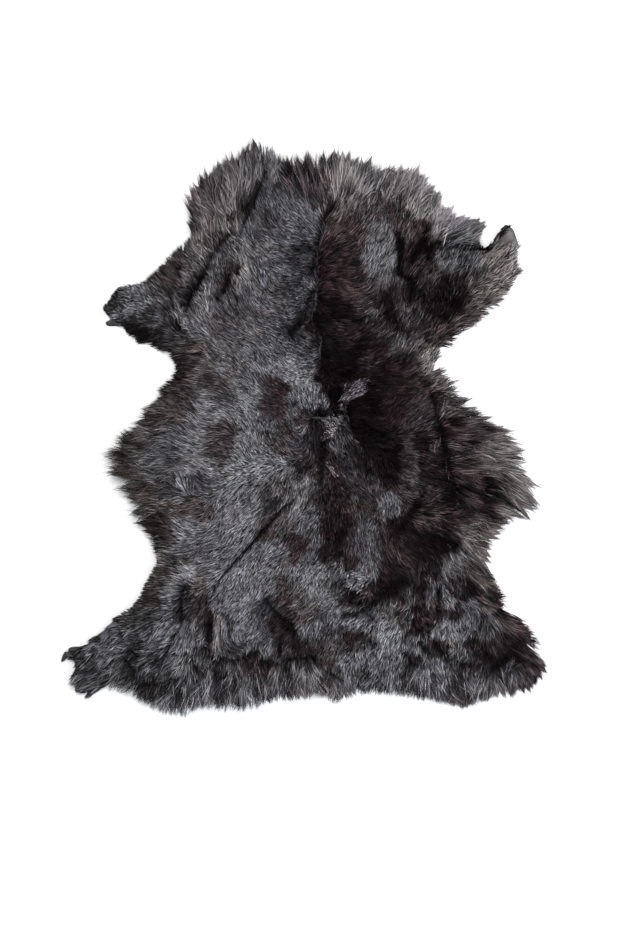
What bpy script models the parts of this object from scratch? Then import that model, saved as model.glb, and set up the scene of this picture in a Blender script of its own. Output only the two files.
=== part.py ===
"""A sheepskin, hair side up, lying flat. One tanned skin with its wool on is one piece, so it is one closed solid.

The skin lies on the plane z = 0 with its neck towards +Y. The solid holds the leather and the fleece together: it is flat
underneath, it reaches out to the tips of the hair, and its upper side follows the pile, with its troughs and tufts.
Tables are in millimetres and the model is in metres.
"""

from collections import namedtuple
from math import ceil, pi, sin

import bmesh
import bpy
import numpy as np
from mathutils import Vector
from mathutils.geometry import delaunay_2d_cdt

MM = 0.001

# Driving sizes, in millimetres.
LENGTH = 1003.0  # neck to rump, over the hair
WIDTH = 854.0  # across the hind legs, over the hair
EDGE_HEIGHT = 4.0  # leather and flattened hair at the tips of the fringe
HAIR_SLOPE = 62.0  # how far in from the tips the pile reaches its full height
EDGE_STEP = 10.0  # distance between points along the edge
FACE_STEP = 15.0  # distance between points across the pile
TUFT_PITCH = 33.0  # distance between locks along the edge
TUFT_DEPTH = 3.2  # how far the locks stand out from the edge between them
SWELL_PITCH = 118.0  # soft unevenness of the pile
SWELL_HEIGHT = 2.4

# The fleece, seen from above.
WOOL_COLOUR = (0.031, 0.029, 0.031, 1.0)
WOOL_ROUGHNESS = 0.62

# One row for each cross-section, from the neck to the rump: its distance from the middle of the skin's length, and
# where its left and right edges are from the middle of its width.
Section = namedtuple("Section", "name y left right")
SECTIONS = [
    Section("neck", 414, -201, 236),
    Section("neck, lower", 379, -208, 262),
    Section("shoulder tuft", 359, -211, 317),
    Section("shoulder hollow", 334, -200, 305),
    Section("shoulder", 312, -224, 378),
    Section("fore-legs begin", 288, -249, 384),
    Section("fore-legs, upper side", 250, -318, 377),
    Section("fore-legs, widest", 207, -355, 324),
    Section("fore-legs, lower side", 178, -345, 292),
    Section("armpits", 150, -294, 268),
    Section("waist", 120, -228, 242),
    Section("waist, lower", 96, -224, 250),
    Section("flank begins", 64, -256, 265),
    Section("flank, upper", 34, -298, 296),
    Section("belly begins", 9, -315, 350),
    Section("belly, upper", -16, -332, 381),
    Section("belly, widest on the left", -55, -364, 397),
    Section("belly, hair parted", -82, -332, 406),
    Section("belly, widest on the right", -116, -324, 408),
    Section("belly, lower", -150, -306, 404),
    Section("belly ends", -176, -290, 364),
    Section("thigh begins", -202, -268, 326),
    Section("thigh, narrowest", -232, -263, 317),
    Section("thigh", -270, -278, 338),
    Section("thigh, lower", -309, -301, 360),
    Section("hind legs begin", -353, -357, 393),
    Section("hind legs", -391, -417, 418),
    Section("hind legs, widest", -414, -426, 427),
    Section("hind legs, lower side", -446, -412, 415),
]

# The edge's own landmarks where it runs across the skin and not along it, in order from left to right.
Landmark = namedtuple("Landmark", "name x y")
NECK_EDGE = [
    Landmark("left corner", -168, 446),
    Landmark("left slope", -138, 470),
    Landmark("left peak", -89, 501),
    Landmark("left peak, far side", -60, 489),
    Landmark("fringe begins", -44, 472),
    Landmark("fringe", -6, 473),
    Landmark("fringe, highest", 42, 481),
    Landmark("fringe, right", 76, 475),
    Landmark("fringe, falling", 114, 462),
    Landmark("dip", 140, 450),
    Landmark("right peak, near side", 168, 453),
    Landmark("right peak", 194, 461),
    Landmark("right slope", 218, 443),
]
CURLED_FLAP = [
    Landmark("root", 320, 308),
    Landmark("tip, near side", 346, 346),
    Landmark("tip", 364, 337),
]
RUMP_EDGE = [
    Landmark("left leg, underside", -372, -470),
    Landmark("left leg ends", -313, -462),
    Landmark("left tuft begins", -291, -480),
    Landmark("left tuft", -215, -501),
    Landmark("fringe, left", -158, -489),
    Landmark("fringe, left of middle", -95, -485),
    Landmark("fringe, middle", -26, -473),
    Landmark("tail, left side", 28, -470),
    Landmark("tail tuft", 48, -481),
    Landmark("tail, right side", 70, -469),
    Landmark("fringe, shortest", 114, -458),
    Landmark("fringe, right of middle", 171, -470),
    Landmark("fringe, right", 224, -478),
    Landmark("right tuft", 276, -489),
    Landmark("right leg begins", 326, -474),
    Landmark("right leg, underside", 383, -464),
]

# One row for each kind of pile: its middle, how far it holds, and its height above the ground.
Pile = namedtuple("Pile", "name x y reach height")
PILES = [
    Pile("neck, left, long", -120, 410, 85, 36),
    Pile("neck fringe, long", 60, 430, 100, 34),
    Pile("neck, right", 190, 370, 80, 32),
    Pile("neck, middle, short", -20, 330, 90, 23),
    Pile("left fore-leg, short", -290, 230, 90, 15),
    Pile("right fore-leg, short", 330, 270, 80, 17),
    Pile("left shoulder", -150, 250, 90, 28),
    Pile("right shoulder", 180, 240, 100, 30),
    Pile("back, plush", -40, 60, 150, 24),
    Pile("left flank", -220, 10, 100, 27),
    Pile("right flank", 190, 20, 90, 29),
    Pile("left belly, long", -300, -70, 80, 24),
    Pile("right belly, long", 340, -80, 90, 28),
    Pile("loin, plush", -60, -180, 150, 24),
    Pile("right loin", 160, -170, 100, 29),
    Pile("left thigh", -230, -290, 90, 26),
    Pile("right thigh", 240, -290, 90, 29),
    Pile("left hind leg", -340, -400, 80, 22),
    Pile("right hind leg", 340, -400, 80, 26),
    Pile("rump fringe, long", -80, -430, 120, 33),
    Pile("rump fringe, right", 160, -420, 110, 34),
]

# One row for each fold or crease in the pile: where it begins and ends, its half-width, and its depth. A ridge or a
# tuft has a depth below zero.
Fold = namedtuple("Fold", "name x0 y0 x1 y1 half_width depth")
FOLDS = [
    Fold("neck parting, upper", 61, 388, 20, 312, 14, 5),
    Fold("neck parting, lower", 20, 312, 14, 240, 13, 7),
    Fold("neck parting, end", 14, 240, -26, 172, 16, 9),
    Fold("neck fold", -70, 440, -107, 363, 15, 8),
    Fold("left shoulder crease", -168, 277, -190, 240, 12, 8),
    Fold("left shoulder pit", -134, 328, -120, 300, 12, 6),
    Fold("right shoulder crease", 226, 318, 301, 305, 12, 8),
    Fold("right shoulder pit", 168, 264, 196, 250, 13, 7),
    Fold("back scar", 60, 84, 102, 34, 9, -6),
    Fold("back scar, tail", 40, -52, 74, 20, 9, -3),
    Fold("loin crease, upper", -5, -109, -72, -176, 9, 8),
    Fold("loin crease, lower", -72, -176, -154, -267, 10, 7),
    Fold("right flank crease", 228, 43, 256, -83, 14, 9),
    Fold("right belly fold", 205, -30, 168, -130, 16, 6),
    Fold("rump fold, left", -212, -283, -173, -384, 13, 5),
    Fold("rump fold, middle", -173, -384, -26, -423, 13, 5),
    Fold("rump pit", 30, -395, 96, -380, 18, 6),
    Fold("right thigh pit", 250, -372, 300, -345, 18, 6),
]

CORNER_SHARE = 0.42  # how strongly the edge bends through its landmarks


def edge_landmarks():
    """The edge's landmarks in one round, clockwise from the neck's left corner."""
    right = [(s.right, s.y) for s in SECTIONS]
    left = [(s.left, s.y) for s in SECTIONS]
    flap_at = 1 + next(i for i, s in enumerate(SECTIONS) if s.name == "shoulder hollow")
    right[flap_at:flap_at] = [(p.x, p.y) for p in CURLED_FLAP]
    neck = [(p.x, p.y) for p in NECK_EDGE]
    rump = [(p.x, p.y) for p in RUMP_EDGE]
    return np.array(neck + right + rump[::-1] + left[::-1], float)


def smooth_round(points, step):
    """A closed curve through the landmarks, with points about one step apart."""
    count = len(points)
    curve = []
    for i in range(count):
        before, start, end, after = (points[(i + k) % count] for k in (-1, 0, 1, 2))
        span = np.linalg.norm(end - start)
        pull_start = CORNER_SHARE * span * (end - before) / np.linalg.norm(end - before)
        pull_end = CORNER_SHARE * span * (after - start) / np.linalg.norm(after - start)
        parts = max(1, ceil(span / step))
        for k in range(parts):
            t = k / parts
            curve.append(
                (2 * t**3 - 3 * t**2 + 1) * start
                + (t**3 - 2 * t**2 + t) * pull_start
                + (3 * t**2 - 2 * t**3) * end
                + (t**3 - t**2) * pull_end
            )
    return np.array(curve)


def with_tufts(curve):
    """The edge with its hair in locks: it stands out and draws back along its own length."""
    along = np.concatenate([[0], np.cumsum(np.hypot(*np.diff(curve, axis=0).T))])
    ahead, behind = np.roll(curve, -1, axis=0), np.roll(curve, 1, axis=0)
    way = (ahead - behind) / np.linalg.norm(ahead - behind, axis=1)[:, None]
    outward = np.stack([-way[:, 1], way[:, 0]], axis=1)
    turns = 2 * pi * along / TUFT_PITCH
    wave = 0.6 * np.sin(turns) + 0.4 * np.sin(1.83 * turns + 1.1)
    return curve + outward * (TUFT_DEPTH * wave)[:, None]


def centred(curve):
    """The edge moved and fitted so that its box is LENGTH by WIDTH about the origin."""
    low, high = curve.min(axis=0), curve.max(axis=0)
    return (curve - (low + high) / 2) * np.array([WIDTH, LENGTH]) / (high - low)


def distance_to_segments(points, starts, ends):
    """The distance from each point to the nearest of the segments."""
    best = np.full(len(points), np.inf)
    for a, b in zip(starts, ends):
        d = b - a
        t = np.clip(((points - a) @ d) / max(d @ d, 1e-9), 0, 1)
        best = np.minimum(best, np.linalg.norm(points - a - t[:, None] * d, axis=1))
    return best


def inside(points, curve):
    """Whether each point is inside the closed curve."""
    x, y = points.T
    odd = np.zeros(len(points), bool)
    for (x0, y0), (x1, y1) in zip(curve, np.roll(curve, -1, axis=0)):
        if y0 != y1:
            crosses = (y0 > y) != (y1 > y)
            odd ^= crosses & (x < (x1 - x0) * (y - y0) / (y1 - y0) + x0)
    return odd


def pile_height(points, from_edge):
    """The fleece's height above the ground at each point."""
    total, weight = np.zeros(len(points)), np.zeros(len(points))
    for p in PILES:
        near = np.exp(-(((points - [p.x, p.y]) / p.reach) ** 2).sum(axis=1)) + 1e-6
        total += near * p.height
        weight += near
    height = total / weight
    for f in FOLDS:
        start, end = np.array([f.x0, f.y0], float), np.array([f.x1, f.y1], float)
        away = distance_to_segments(points, [start], [end])
        height -= f.depth * np.exp(-((away / f.half_width) ** 2))
    x, y = (2 * pi * points / SWELL_PITCH).T
    height += SWELL_HEIGHT * (
        0.5 * np.sin(x + 0.7 * np.sin(0.8 * y)) + 0.5 * np.cos(1.3 * y + 0.9 * np.sin(0.7 * x))
    )
    rise = np.sin(np.clip(from_edge / HAIR_SLOPE, 0, 1) * pi / 2)
    return EDGE_HEIGHT + (height - EDGE_HEIGHT) * rise


def face_points(curve):
    """Points in even triangles across the skin, clear of its edge."""
    low, high = curve.min(axis=0), curve.max(axis=0)
    row_gap = FACE_STEP * sin(pi / 3)
    rows = np.arange(low[1], high[1], row_gap)
    points = [
        (x + (i % 2) * FACE_STEP / 2, y)
        for i, y in enumerate(rows)
        for x in np.arange(low[0], high[0], FACE_STEP)
    ]
    points = np.array(points)
    points = points[inside(points, curve)]
    away = distance_to_segments(points, curve, np.roll(curve, -1, axis=0))
    return points[away > 0.55 * FACE_STEP]


def make_fleece(collection):
    """The skin and its fleece as one closed solid."""
    curve = centred(with_tufts(smooth_round(edge_landmarks(), EDGE_STEP)))
    points = np.concatenate([curve, face_points(curve)])
    edge = list(range(len(curve)))
    flat, _, faces, _, _, _ = delaunay_2d_cdt(
        [Vector(p) for p in points * MM], [], [edge[::-1]], 1, 1e-7
    )
    bm = bmesh.new()
    corners = [bm.verts.new((p.x, p.y, 0.0)) for p in flat]
    for face in faces:
        bm.faces.new([corners[i] for i in face])
    for corner in [v for v in bm.verts if not v.link_faces]:
        bm.verts.remove(corner)
    bmesh.ops.recalc_face_normals(bm, faces=bm.faces)
    if sum(f.normal.z for f in bm.faces) > 0:
        bmesh.ops.reverse_faces(bm, faces=bm.faces)
    underside = list(bm.faces)
    raised = bmesh.ops.extrude_face_region(bm, geom=underside, use_keep_orig=True)
    upper = [v for v in raised["geom"] if isinstance(v, bmesh.types.BMVert)]
    where = np.array([(v.co.x, v.co.y) for v in upper]) / MM
    from_edge = distance_to_segments(where, curve, np.roll(curve, -1, axis=0))
    for vert, height in zip(upper, pile_height(where, from_edge)):
        vert.co.z = height * MM
    bmesh.ops.dissolve_faces(bm, faces=underside, use_verts=False)
    bmesh.ops.recalc_face_normals(bm, faces=bm.faces)
    mesh = bpy.data.meshes.new("sheepskin")
    bm.to_mesh(mesh)
    bm.free()
    mesh.shade_smooth()
    mesh.set_sharp_from_angle(angle=pi / 4)
    mesh.materials.append(wool_material())
    skin = bpy.data.objects.new("sheepskin", mesh)
    collection.objects.link(skin)
    return skin


def wool_material():
    material = bpy.data.materials.new("dark wool")
    material.use_nodes = True
    shader = material.node_tree.nodes["Principled BSDF"]
    shader.inputs["Base Color"].default_value = WOOL_COLOUR
    shader.inputs["Roughness"].default_value = WOOL_ROUGHNESS
    shader.inputs["Metallic"].default_value = 0.0
    material.diffuse_color = WOOL_COLOUR
    return material


def main():
    for obj in list(bpy.data.objects):
        bpy.data.objects.remove(obj)
    collection = bpy.data.collections.new("sheepskin")
    bpy.context.scene.collection.children.link(collection)
    make_fleece(collection)


main()
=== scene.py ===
"""The looks of the sheepskin: a thin sheet of tanned leather and, on it, its wool as joined meshes of fine strands.

Everything is placed on a chart of the skin: one square of the chart is 1.75 mm, counted from the upper left
corner, to the right and down. The neck is at the top of the chart. Angles are in degrees, counter-clockwise, with 0
pointing to the right of the chart and 90 to its top. All work below is in millimetres until the meshes are made.
"""

import math

import bpy
import numpy as np
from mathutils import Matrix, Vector


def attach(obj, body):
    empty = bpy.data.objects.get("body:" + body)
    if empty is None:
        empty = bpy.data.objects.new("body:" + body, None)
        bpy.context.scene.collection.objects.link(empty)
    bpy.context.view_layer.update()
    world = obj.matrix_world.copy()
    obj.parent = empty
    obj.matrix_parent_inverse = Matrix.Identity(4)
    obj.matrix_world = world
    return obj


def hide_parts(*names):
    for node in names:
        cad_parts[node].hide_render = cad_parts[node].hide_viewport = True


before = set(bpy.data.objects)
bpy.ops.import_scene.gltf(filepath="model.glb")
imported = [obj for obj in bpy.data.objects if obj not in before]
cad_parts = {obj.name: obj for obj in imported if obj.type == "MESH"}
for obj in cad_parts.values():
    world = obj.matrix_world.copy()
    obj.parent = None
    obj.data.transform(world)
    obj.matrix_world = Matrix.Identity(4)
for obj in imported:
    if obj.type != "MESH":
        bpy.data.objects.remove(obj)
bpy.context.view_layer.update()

SQUARE = 1.75  # millimetres to a square of the chart
MIDDLE = (305.0, 426.5)  # the chart's square over the origin
VIEW_MIDDLE = (310.5, 465.5)  # the chart's square under the camera
VIEW_HEIGHT = 931  # squares from the top of the camera's view to its bottom
MM = 0.001
LEATHER = 2.0

# ---------------------------------------------------------------------------------------------------------------
# The chart
# ---------------------------------------------------------------------------------------------------------------

# The reach of the wool all round, clockwise from the neck's left peak: x, y, and how far in from there the leather
# ends, in squares.
OUTLINE = [
    (253, 134, 20), (262, 138, 24), (270, 142, 23), (278, 151, 22), (289, 157, 22), (300, 158, 22), (309, 156, 23),
    (329, 154, 23), (345, 151, 23), (361, 156, 22), (372, 162, 20), (383, 168, 18), (400, 168, 18), (416, 162, 18),
    (425, 174, 18), (434, 188, 18), (449, 206, 15), (459, 216, 13), (473, 219, 12), (484, 220, 8), (484, 231, 5),
    (478, 243, 3), (486, 248, 1), (492, 240, 1), (497, 232, 1), (503, 226, 1), (513, 227, 2), (519, 237, 3), (524, 246, 6),
    (521, 263, 8), (526, 277, 9), (511, 295, 9), (494, 314, 10), (479, 325, 12), (470, 338, 13), (449, 350, 10),
    (451, 361, 14), (450, 371, 20), (463, 384, 22), (475, 400, 22), (502, 408, 26), (519, 419, 30), (521, 441, 28),
    (534, 457, 28), (537, 478, 28), (539, 498, 28), (538, 516, 27), (516, 522, 22), (499, 533, 18), (493, 547, 14),
    (487, 559, 12), (494, 573, 12), (501, 588, 13), (512, 599, 14), (530, 614, 15), (537, 634, 16), (549, 653, 16),
    (552, 671, 16), (541, 685, 16), (525, 696, 16), (503, 697, 17), (491, 700, 18), (464, 709, 20), (447, 705, 20),
    (433, 703, 20), (402, 696, 20), (385, 696, 18), (369, 695, 18), (345, 698, 18), (332, 705, 22), (321, 695, 20),
    (305, 698, 20), (290, 699, 22), (270, 703, 24), (250, 710, 26), (230, 710, 26), (215, 710, 26), (198, 709, 26),
    (182, 716, 26), (158, 711, 24), (139, 701, 22), (127, 691, 16), (112, 699, 14), (91, 706, 14), (77, 694, 14),
    (69, 683, 12), (72, 672, 6), (75, 662, 4), (69, 658, 1), (60, 665, 1), (63, 653, 1), (71, 646, 1), (84, 643, 2),
    (106, 623, 4), (122, 611, 5), (135, 602, 5), (146, 581, 6), (155, 562, 8), (151, 551, 12), (145, 539, 16),
    (138, 527, 20), (133, 514, 24), (126, 504, 26), (121, 492, 26), (111, 482, 28), (108, 469, 30), (100, 457, 30),
    (99, 442, 30), (120, 433, 26), (134, 421, 20), (144, 409, 18), (156, 397, 14), (161, 387, 12), (171, 374, 10),
    (174, 366, 8), (172, 359, 6), (164, 355, 6), (155, 350, 7), (140, 351, 9), (127, 338, 9), (123, 330, 4),
    (107, 327, 1), (105, 321, 1), (110, 319, 1), (103, 309, 1), (109, 300, 2), (119, 286, 3), (141, 280, 5),
    (154, 271, 7), (168, 255, 10), (182, 244, 10), (191, 234, 10), (186, 222, 14), (186, 210, 16), (188, 193, 18),
    (193, 181, 20), (209, 170, 22), (226, 158, 24), (240, 149, 24),
]

# The way the wool lies. Each row: x, y, how far it holds, direction, length in millimetres, lift at the root, lift
# at the tip, and how strongly the hairs gather into locks (0 to 1).
NAP = [
    # neck fringe
    (203, 215, 16, 122, 52, 34, 8, 0.74), (222, 188, 16, 112, 58, 36, 10, 0.72), (243, 163, 16, 102, 62, 38, 10, 0.75),
    (237, 205, 14, 99, 56, 40, 14, 0.70), (268, 163, 10, 97, 58, 38, 10, 0.70), (290, 172, 12, 103, 58, 40, 12, 0.75),
    (312, 178, 12, 99, 60, 40, 12, 0.72), (331, 176, 11, 91, 60, 42, 12, 0.72), (345, 180, 10, 76, 62, 42, 14, 0.74),
    (364, 182, 14, 63, 60, 40, 12, 0.70), (385, 188, 14, 61, 56, 40, 12, 0.70), (402, 190, 12, 60, 54, 40, 12, 0.70),
    (420, 190, 12, 57, 56, 38, 12, 0.70), (436, 207, 12, 50, 50, 36, 10, 0.70), (456, 226, 12, 44, 44, 34, 8, 0.70),
    (476, 230, 9, 46, 36, 30, 8, 0.70),
    # neck, left of the parting
    (280, 203, 14, 124, 26, 46, 24, 0.35), (300, 222, 12, 134, 24, 48, 26, 0.35), (260, 235, 14, 124, 26, 46, 22, 0.35),
    (288, 243, 10, 142, 23, 50, 28, 0.35), (270, 220, 10, 128, 24, 46, 24, 0.35), (252, 262, 12, 128, 26, 46, 22, 0.40),
    (281, 262, 12, 150, 23, 48, 26, 0.35), (300, 258, 10, 164, 22, 50, 28, 0.35), (240, 300, 14, 124, 27, 44, 20, 0.42),
    (262, 290, 12, 118, 26, 46, 22, 0.40), (277, 303, 10, 168, 23, 48, 26, 0.35), (300, 290, 12, 172, 18, 62, 48, 0.45),
    (310, 283, 7, 100, 18, 64, 50, 0.50), (284, 325, 12, 150, 22, 52, 32, 0.40), (250, 332, 12, 150, 25, 46, 22, 0.40),
    # left shoulder and fore-leg
    (205, 243, 12, 114, 44, 38, 14, 0.62), (186, 260, 12, 130, 34, 38, 14, 0.58), (168, 276, 12, 142, 24, 36, 14, 0.50),
    (196, 266, 10, 130, 34, 44, 22, 0.60), (213, 292, 10, 116, 30, 50, 26, 0.60), (240, 285, 9, 112, 30, 48, 26, 0.55),
    (226, 262, 10, 120, 28, 48, 26, 0.55), (140, 298, 14, 146, 14, 34, 16, 0.35), (118, 300, 10, 150, 9, 30, 14, 0.30),
    (130, 318, 9, 172, 12, 30, 12, 0.35), (140, 332, 8, 200, 18, 30, 8, 0.55), (160, 338, 9, 205, 24, 32, 10, 0.55),
    (164, 312, 10, 150, 18, 38, 18, 0.45), (182, 312, 10, 125, 26, 46, 22, 0.60), (198, 325, 10, 112, 30, 48, 24, 0.58),
    (190, 346, 9, 165, 28, 36, 14, 0.50), (220, 335, 10, 140, 27, 44, 20, 0.45),
    # left flank and belly
    (184, 371, 10, 172, 30, 32, 8, 0.60), (210, 365, 12, 148, 29, 40, 16, 0.48), (232, 352, 12, 148, 27, 42, 20, 0.42),
    (198, 396, 14, 152, 32, 36, 12, 0.52), (226, 386, 13, 152, 28, 40, 18, 0.45), (250, 380, 13, 136, 24, 48, 26, 0.38),
    (214, 415, 13, 150, 30, 40, 18, 0.48), (220, 440, 13, 168, 27, 40, 18, 0.40), (246, 420, 12, 120, 22, 54, 34, 0.38),
    (246, 456, 12, 130, 22, 54, 34, 0.38), (170, 410, 12, 172, 44, 32, 8, 0.66), (150, 428, 12, 182, 54, 30, 6, 0.78),
    (152, 450, 14, 178, 46, 34, 10, 0.60), (122, 455, 14, 180, 66, 26, 2, 0.88), (166, 462, 12, 172, 30, 40, 18, 0.45),
    (186, 448, 12, 142, 29, 42, 20, 0.48), (210, 468, 12, 148, 28, 42, 20, 0.48), (180, 482, 6, 100, 27, 44, 22, 0.50),
    (192, 488, 6, 55, 27, 44, 22, 0.50), (206, 486, 8, 150, 27, 44, 22, 0.50), (178, 507, 12, 180, 34, 34, 12, 0.55),
    (142, 488, 14, 184, 64, 28, 3, 0.88), (144, 512, 13, 188, 58, 28, 3, 0.86), (156, 532, 10, 176, 42, 30, 6, 0.74),
    (184, 530, 12, 158, 29, 42, 20, 0.45), (166, 548, 10, 166, 28, 36, 12, 0.50),
    # back and loin, short
    (230, 508, 14, 237, 23, 48, 26, 0.42), (252, 488, 14, 237, 22, 50, 28, 0.40), (272, 500, 12, 236, 22, 48, 26, 0.42),
    (242, 530, 14, 237, 23, 46, 24, 0.40), (208, 546, 12, 216, 25, 46, 24, 0.42), (200, 565, 10, 205, 26, 44, 22, 0.45),
    (285, 366, 12, 142, 20, 58, 40, 0.42), (305, 350, 12, 150, 19, 60, 44, 0.42), (310, 374, 10, 200, 19, 60, 42, 0.45),
    (262, 350, 12, 140, 23, 50, 30, 0.38), (270, 396, 12, 170, 21, 48, 28, 0.38), (300, 396, 10, 110, 19, 60, 44, 0.45),
    (318, 402, 9, 70, 19, 62, 46, 0.48), (292, 424, 12, 120, 21, 56, 38, 0.42), (312, 434, 10, 260, 20, 52, 34, 0.42),
    (264, 440, 12, 115, 21, 56, 38, 0.40), (282, 452, 12, 150, 20, 58, 40, 0.42), (258, 472, 12, 200, 21, 54, 34, 0.40),
    (290, 476, 10, 250, 21, 54, 34, 0.42), (312, 492, 11, 262, 21, 54, 34, 0.45), (300, 518, 12, 238, 22, 52, 30, 0.42),
    (322, 542, 11, 250, 21, 50, 30, 0.42), (342, 512, 11, 280, 21, 50, 30, 0.45), (360, 490, 11, 300, 22, 54, 36, 0.48),
    (350, 452, 11, 285, 21, 52, 34, 0.48), (380, 475, 11, 270, 23, 54, 36, 0.48), (388, 508, 10, 255, 24, 54, 36, 0.50),
    (368, 538, 12, 262, 23, 52, 34, 0.45), (282, 545, 10, 228, 22, 50, 28, 0.42), (270, 566, 12, 238, 22, 50, 30, 0.42),
    (308, 572, 12, 234, 21, 56, 38, 0.42), (332, 592, 12, 231, 21, 58, 40, 0.45), (354, 580, 8, 216, 22, 60, 44, 0.60),
    (240, 592, 14, 243, 23, 50, 28, 0.40), (252, 622, 12, 250, 23, 52, 32, 0.42), (300, 612, 11, 225, 23, 50, 30, 0.45),
    (308, 632, 11, 270, 24, 54, 36, 0.48), (334, 642, 11, 238, 25, 52, 34, 0.50), (275, 640, 10, 235, 24, 50, 30, 0.48),
    (358, 625, 10, 235, 25, 54, 36, 0.58), (390, 628, 12, 244, 27, 46, 24, 0.62), (398, 652, 12, 262, 27, 46, 22, 0.60),
    (370, 660, 12, 248, 28, 44, 22, 0.58), (390, 572, 12, 292, 28, 42, 20, 0.50), (402, 546, 12, 300, 30, 42, 20, 0.50),
    # neck, right of the parting, and right shoulder
    (344, 222, 9, 50, 28, 40, 18, 0.42), (334, 262, 10, 7, 26, 42, 20, 0.42), (330, 290, 11, 345, 25, 42, 20, 0.42),
    (356, 297, 9, 32, 26, 42, 20, 0.42), (334, 322, 11, 350, 25, 42, 20, 0.42), (352, 335, 12, 10, 26, 42, 20, 0.42),
    (332, 352, 10, 330, 23, 44, 22, 0.42), (350, 370, 11, 345, 24, 46, 24, 0.45), (370, 215, 12, 70, 34, 46, 22, 0.50),
    (380, 238, 11, 74, 30, 46, 24, 0.45), (384, 284, 9, 76, 28, 44, 22, 0.45), (396, 222, 11, 70, 34, 48, 24, 0.55),
    (398, 262, 9, 78, 28, 46, 24, 0.50), (420, 226, 10, 60, 34, 44, 20, 0.55), (420, 268, 10, 55, 30, 44, 22, 0.55),
    (442, 265, 11, 45, 32, 42, 18, 0.58), (470, 262, 12, 55, 30, 36, 14, 0.58), (500, 262, 12, 40, 22, 30, 12, 0.50),
    (505, 285, 11, 24, 31, 30, 10, 0.66), (478, 290, 12, 36, 30, 36, 14, 0.56), (450, 296, 11, 74, 30, 42, 18, 0.56),
    (478, 312, 10, 14, 38, 32, 10, 0.74), (458, 332, 10, 16, 38, 34, 10, 0.72), (430, 322, 11, 46, 34, 42, 18, 0.58),
    (402, 326, 11, 62, 30, 44, 20, 0.52), (398, 350, 10, 50, 28, 44, 22, 0.50), (375, 345, 10, 22, 26, 42, 20, 0.48),
    (372, 320, 9, 40, 26, 50, 30, 0.55), (430, 352, 8, 50, 26, 36, 18, 0.60), (412, 372, 11, 32, 30, 40, 18, 0.55),
    (388, 382, 11, 2, 28, 42, 20, 0.48), (445, 380, 10, 12, 48, 36, 12, 0.88), (452, 398, 9, 22, 48, 34, 10, 0.88),
    # right flank and belly
    (372, 430, 12, 350, 24, 44, 22, 0.45), (395, 415, 12, 45, 28, 42, 20, 0.48), (420, 415, 11, 30, 30, 42, 20, 0.50),
    (404, 450, 12, 352, 29, 46, 24, 0.50), (425, 462, 10, 350, 31, 42, 20, 0.52), (404, 490, 11, 325, 28, 44, 22, 0.50),
    (432, 500, 11, 4, 34, 42, 18, 0.58), (460, 420, 11, 10, 44, 40, 14, 0.80), (470, 446, 12, 2, 50, 38, 12, 0.72),
    (500, 438, 14, 354, 62, 30, 4, 0.88), (510, 470, 14, 338, 66, 30, 4, 0.84), (480, 480, 11, 350, 56, 36, 10, 0.80),
    (518, 500, 14, 328, 62, 28, 2, 0.84), (492, 512, 12, 342, 56, 32, 6, 0.80), (462, 508, 12, 340, 46, 38, 14, 0.68),
    (470, 530, 11, 352, 48, 34, 8, 0.76), (448, 530, 12, 322, 40, 38, 14, 0.62), (424, 536, 12, 312, 34, 42, 18, 0.56),
    # right thigh and hind leg
    (474, 556, 11, 322, 42, 34, 8, 0.74), (448, 562, 11, 292, 31, 42, 18, 0.66), (420, 575, 12, 290, 29, 42, 20, 0.58),
    (484, 588, 12, 334, 40, 34, 8, 0.74), (456, 592, 11, 286, 30, 42, 18, 0.66), (432, 600, 11, 268, 28, 44, 22, 0.64),
    (505, 616, 12, 326, 40, 34, 8, 0.74), (478, 628, 12, 282, 32, 40, 16, 0.66), (448, 630, 11, 262, 30, 44, 20, 0.66),
    (522, 645, 12, 322, 42, 32, 6, 0.76), (500, 650, 12, 308, 42, 38, 12, 0.70), (534, 654, 10, 336, 42, 30, 4, 0.78),
    (470, 655, 11, 262, 32, 40, 16, 0.66), (440, 660, 11, 268, 32, 40, 16, 0.66), (520, 684, 11, 284, 44, 32, 6, 0.78),
    # rump fringe
    (484, 682, 11, 268, 46, 36, 8, 0.63), (452, 685, 11, 282, 48, 36, 8, 0.63), (420, 680, 12, 272, 46, 36, 8, 0.63),
    (388, 678, 12, 275, 42, 36, 8, 0.63), (358, 680, 12, 274, 42, 36, 8, 0.63), (330, 684, 11, 284, 46, 36, 8, 0.63),
    (305, 680, 11, 272, 46, 38, 8, 0.63), (280, 682, 12, 272, 50, 38, 8, 0.63), (252, 684, 12, 270, 56, 38, 8, 0.63),
    (226, 684, 12, 266, 58, 38, 8, 0.63), (198, 688, 12, 263, 58, 38, 8, 0.63), (172, 690, 12, 258, 54, 36, 6, 0.63),
    (146, 688, 11, 244, 48, 34, 4, 0.66), (214, 662, 11, 262, 34, 44, 18, 0.66), (250, 662, 11, 264, 34, 44, 18, 0.66),
    # left thigh and hind leg
    (116, 676, 11, 218, 35, 32, 6, 0.74), (88, 676, 11, 217, 35, 30, 4, 0.78), (84, 660, 10, 218, 26, 28, 6, 0.66),
    (104, 650, 12, 212, 27, 34, 12, 0.60), (104, 632, 10, 200, 20, 30, 10, 0.50), (130, 616, 10, 162, 20, 32, 12, 0.50),
    (134, 645, 12, 208, 28, 36, 14, 0.60), (146, 592, 10, 166, 20, 34, 12, 0.48), (160, 572, 10, 164, 24, 34, 12, 0.50),
    (186, 575, 10, 150, 29, 40, 18, 0.55), (166, 602, 10, 172, 28, 38, 16, 0.52), (162, 625, 12, 226, 27, 42, 18, 0.55),
    (190, 602, 10, 238, 26, 42, 20, 0.58), (194, 630, 12, 238, 27, 42, 20, 0.56), (218, 632, 8, 266, 30, 46, 24, 0.55),
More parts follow.
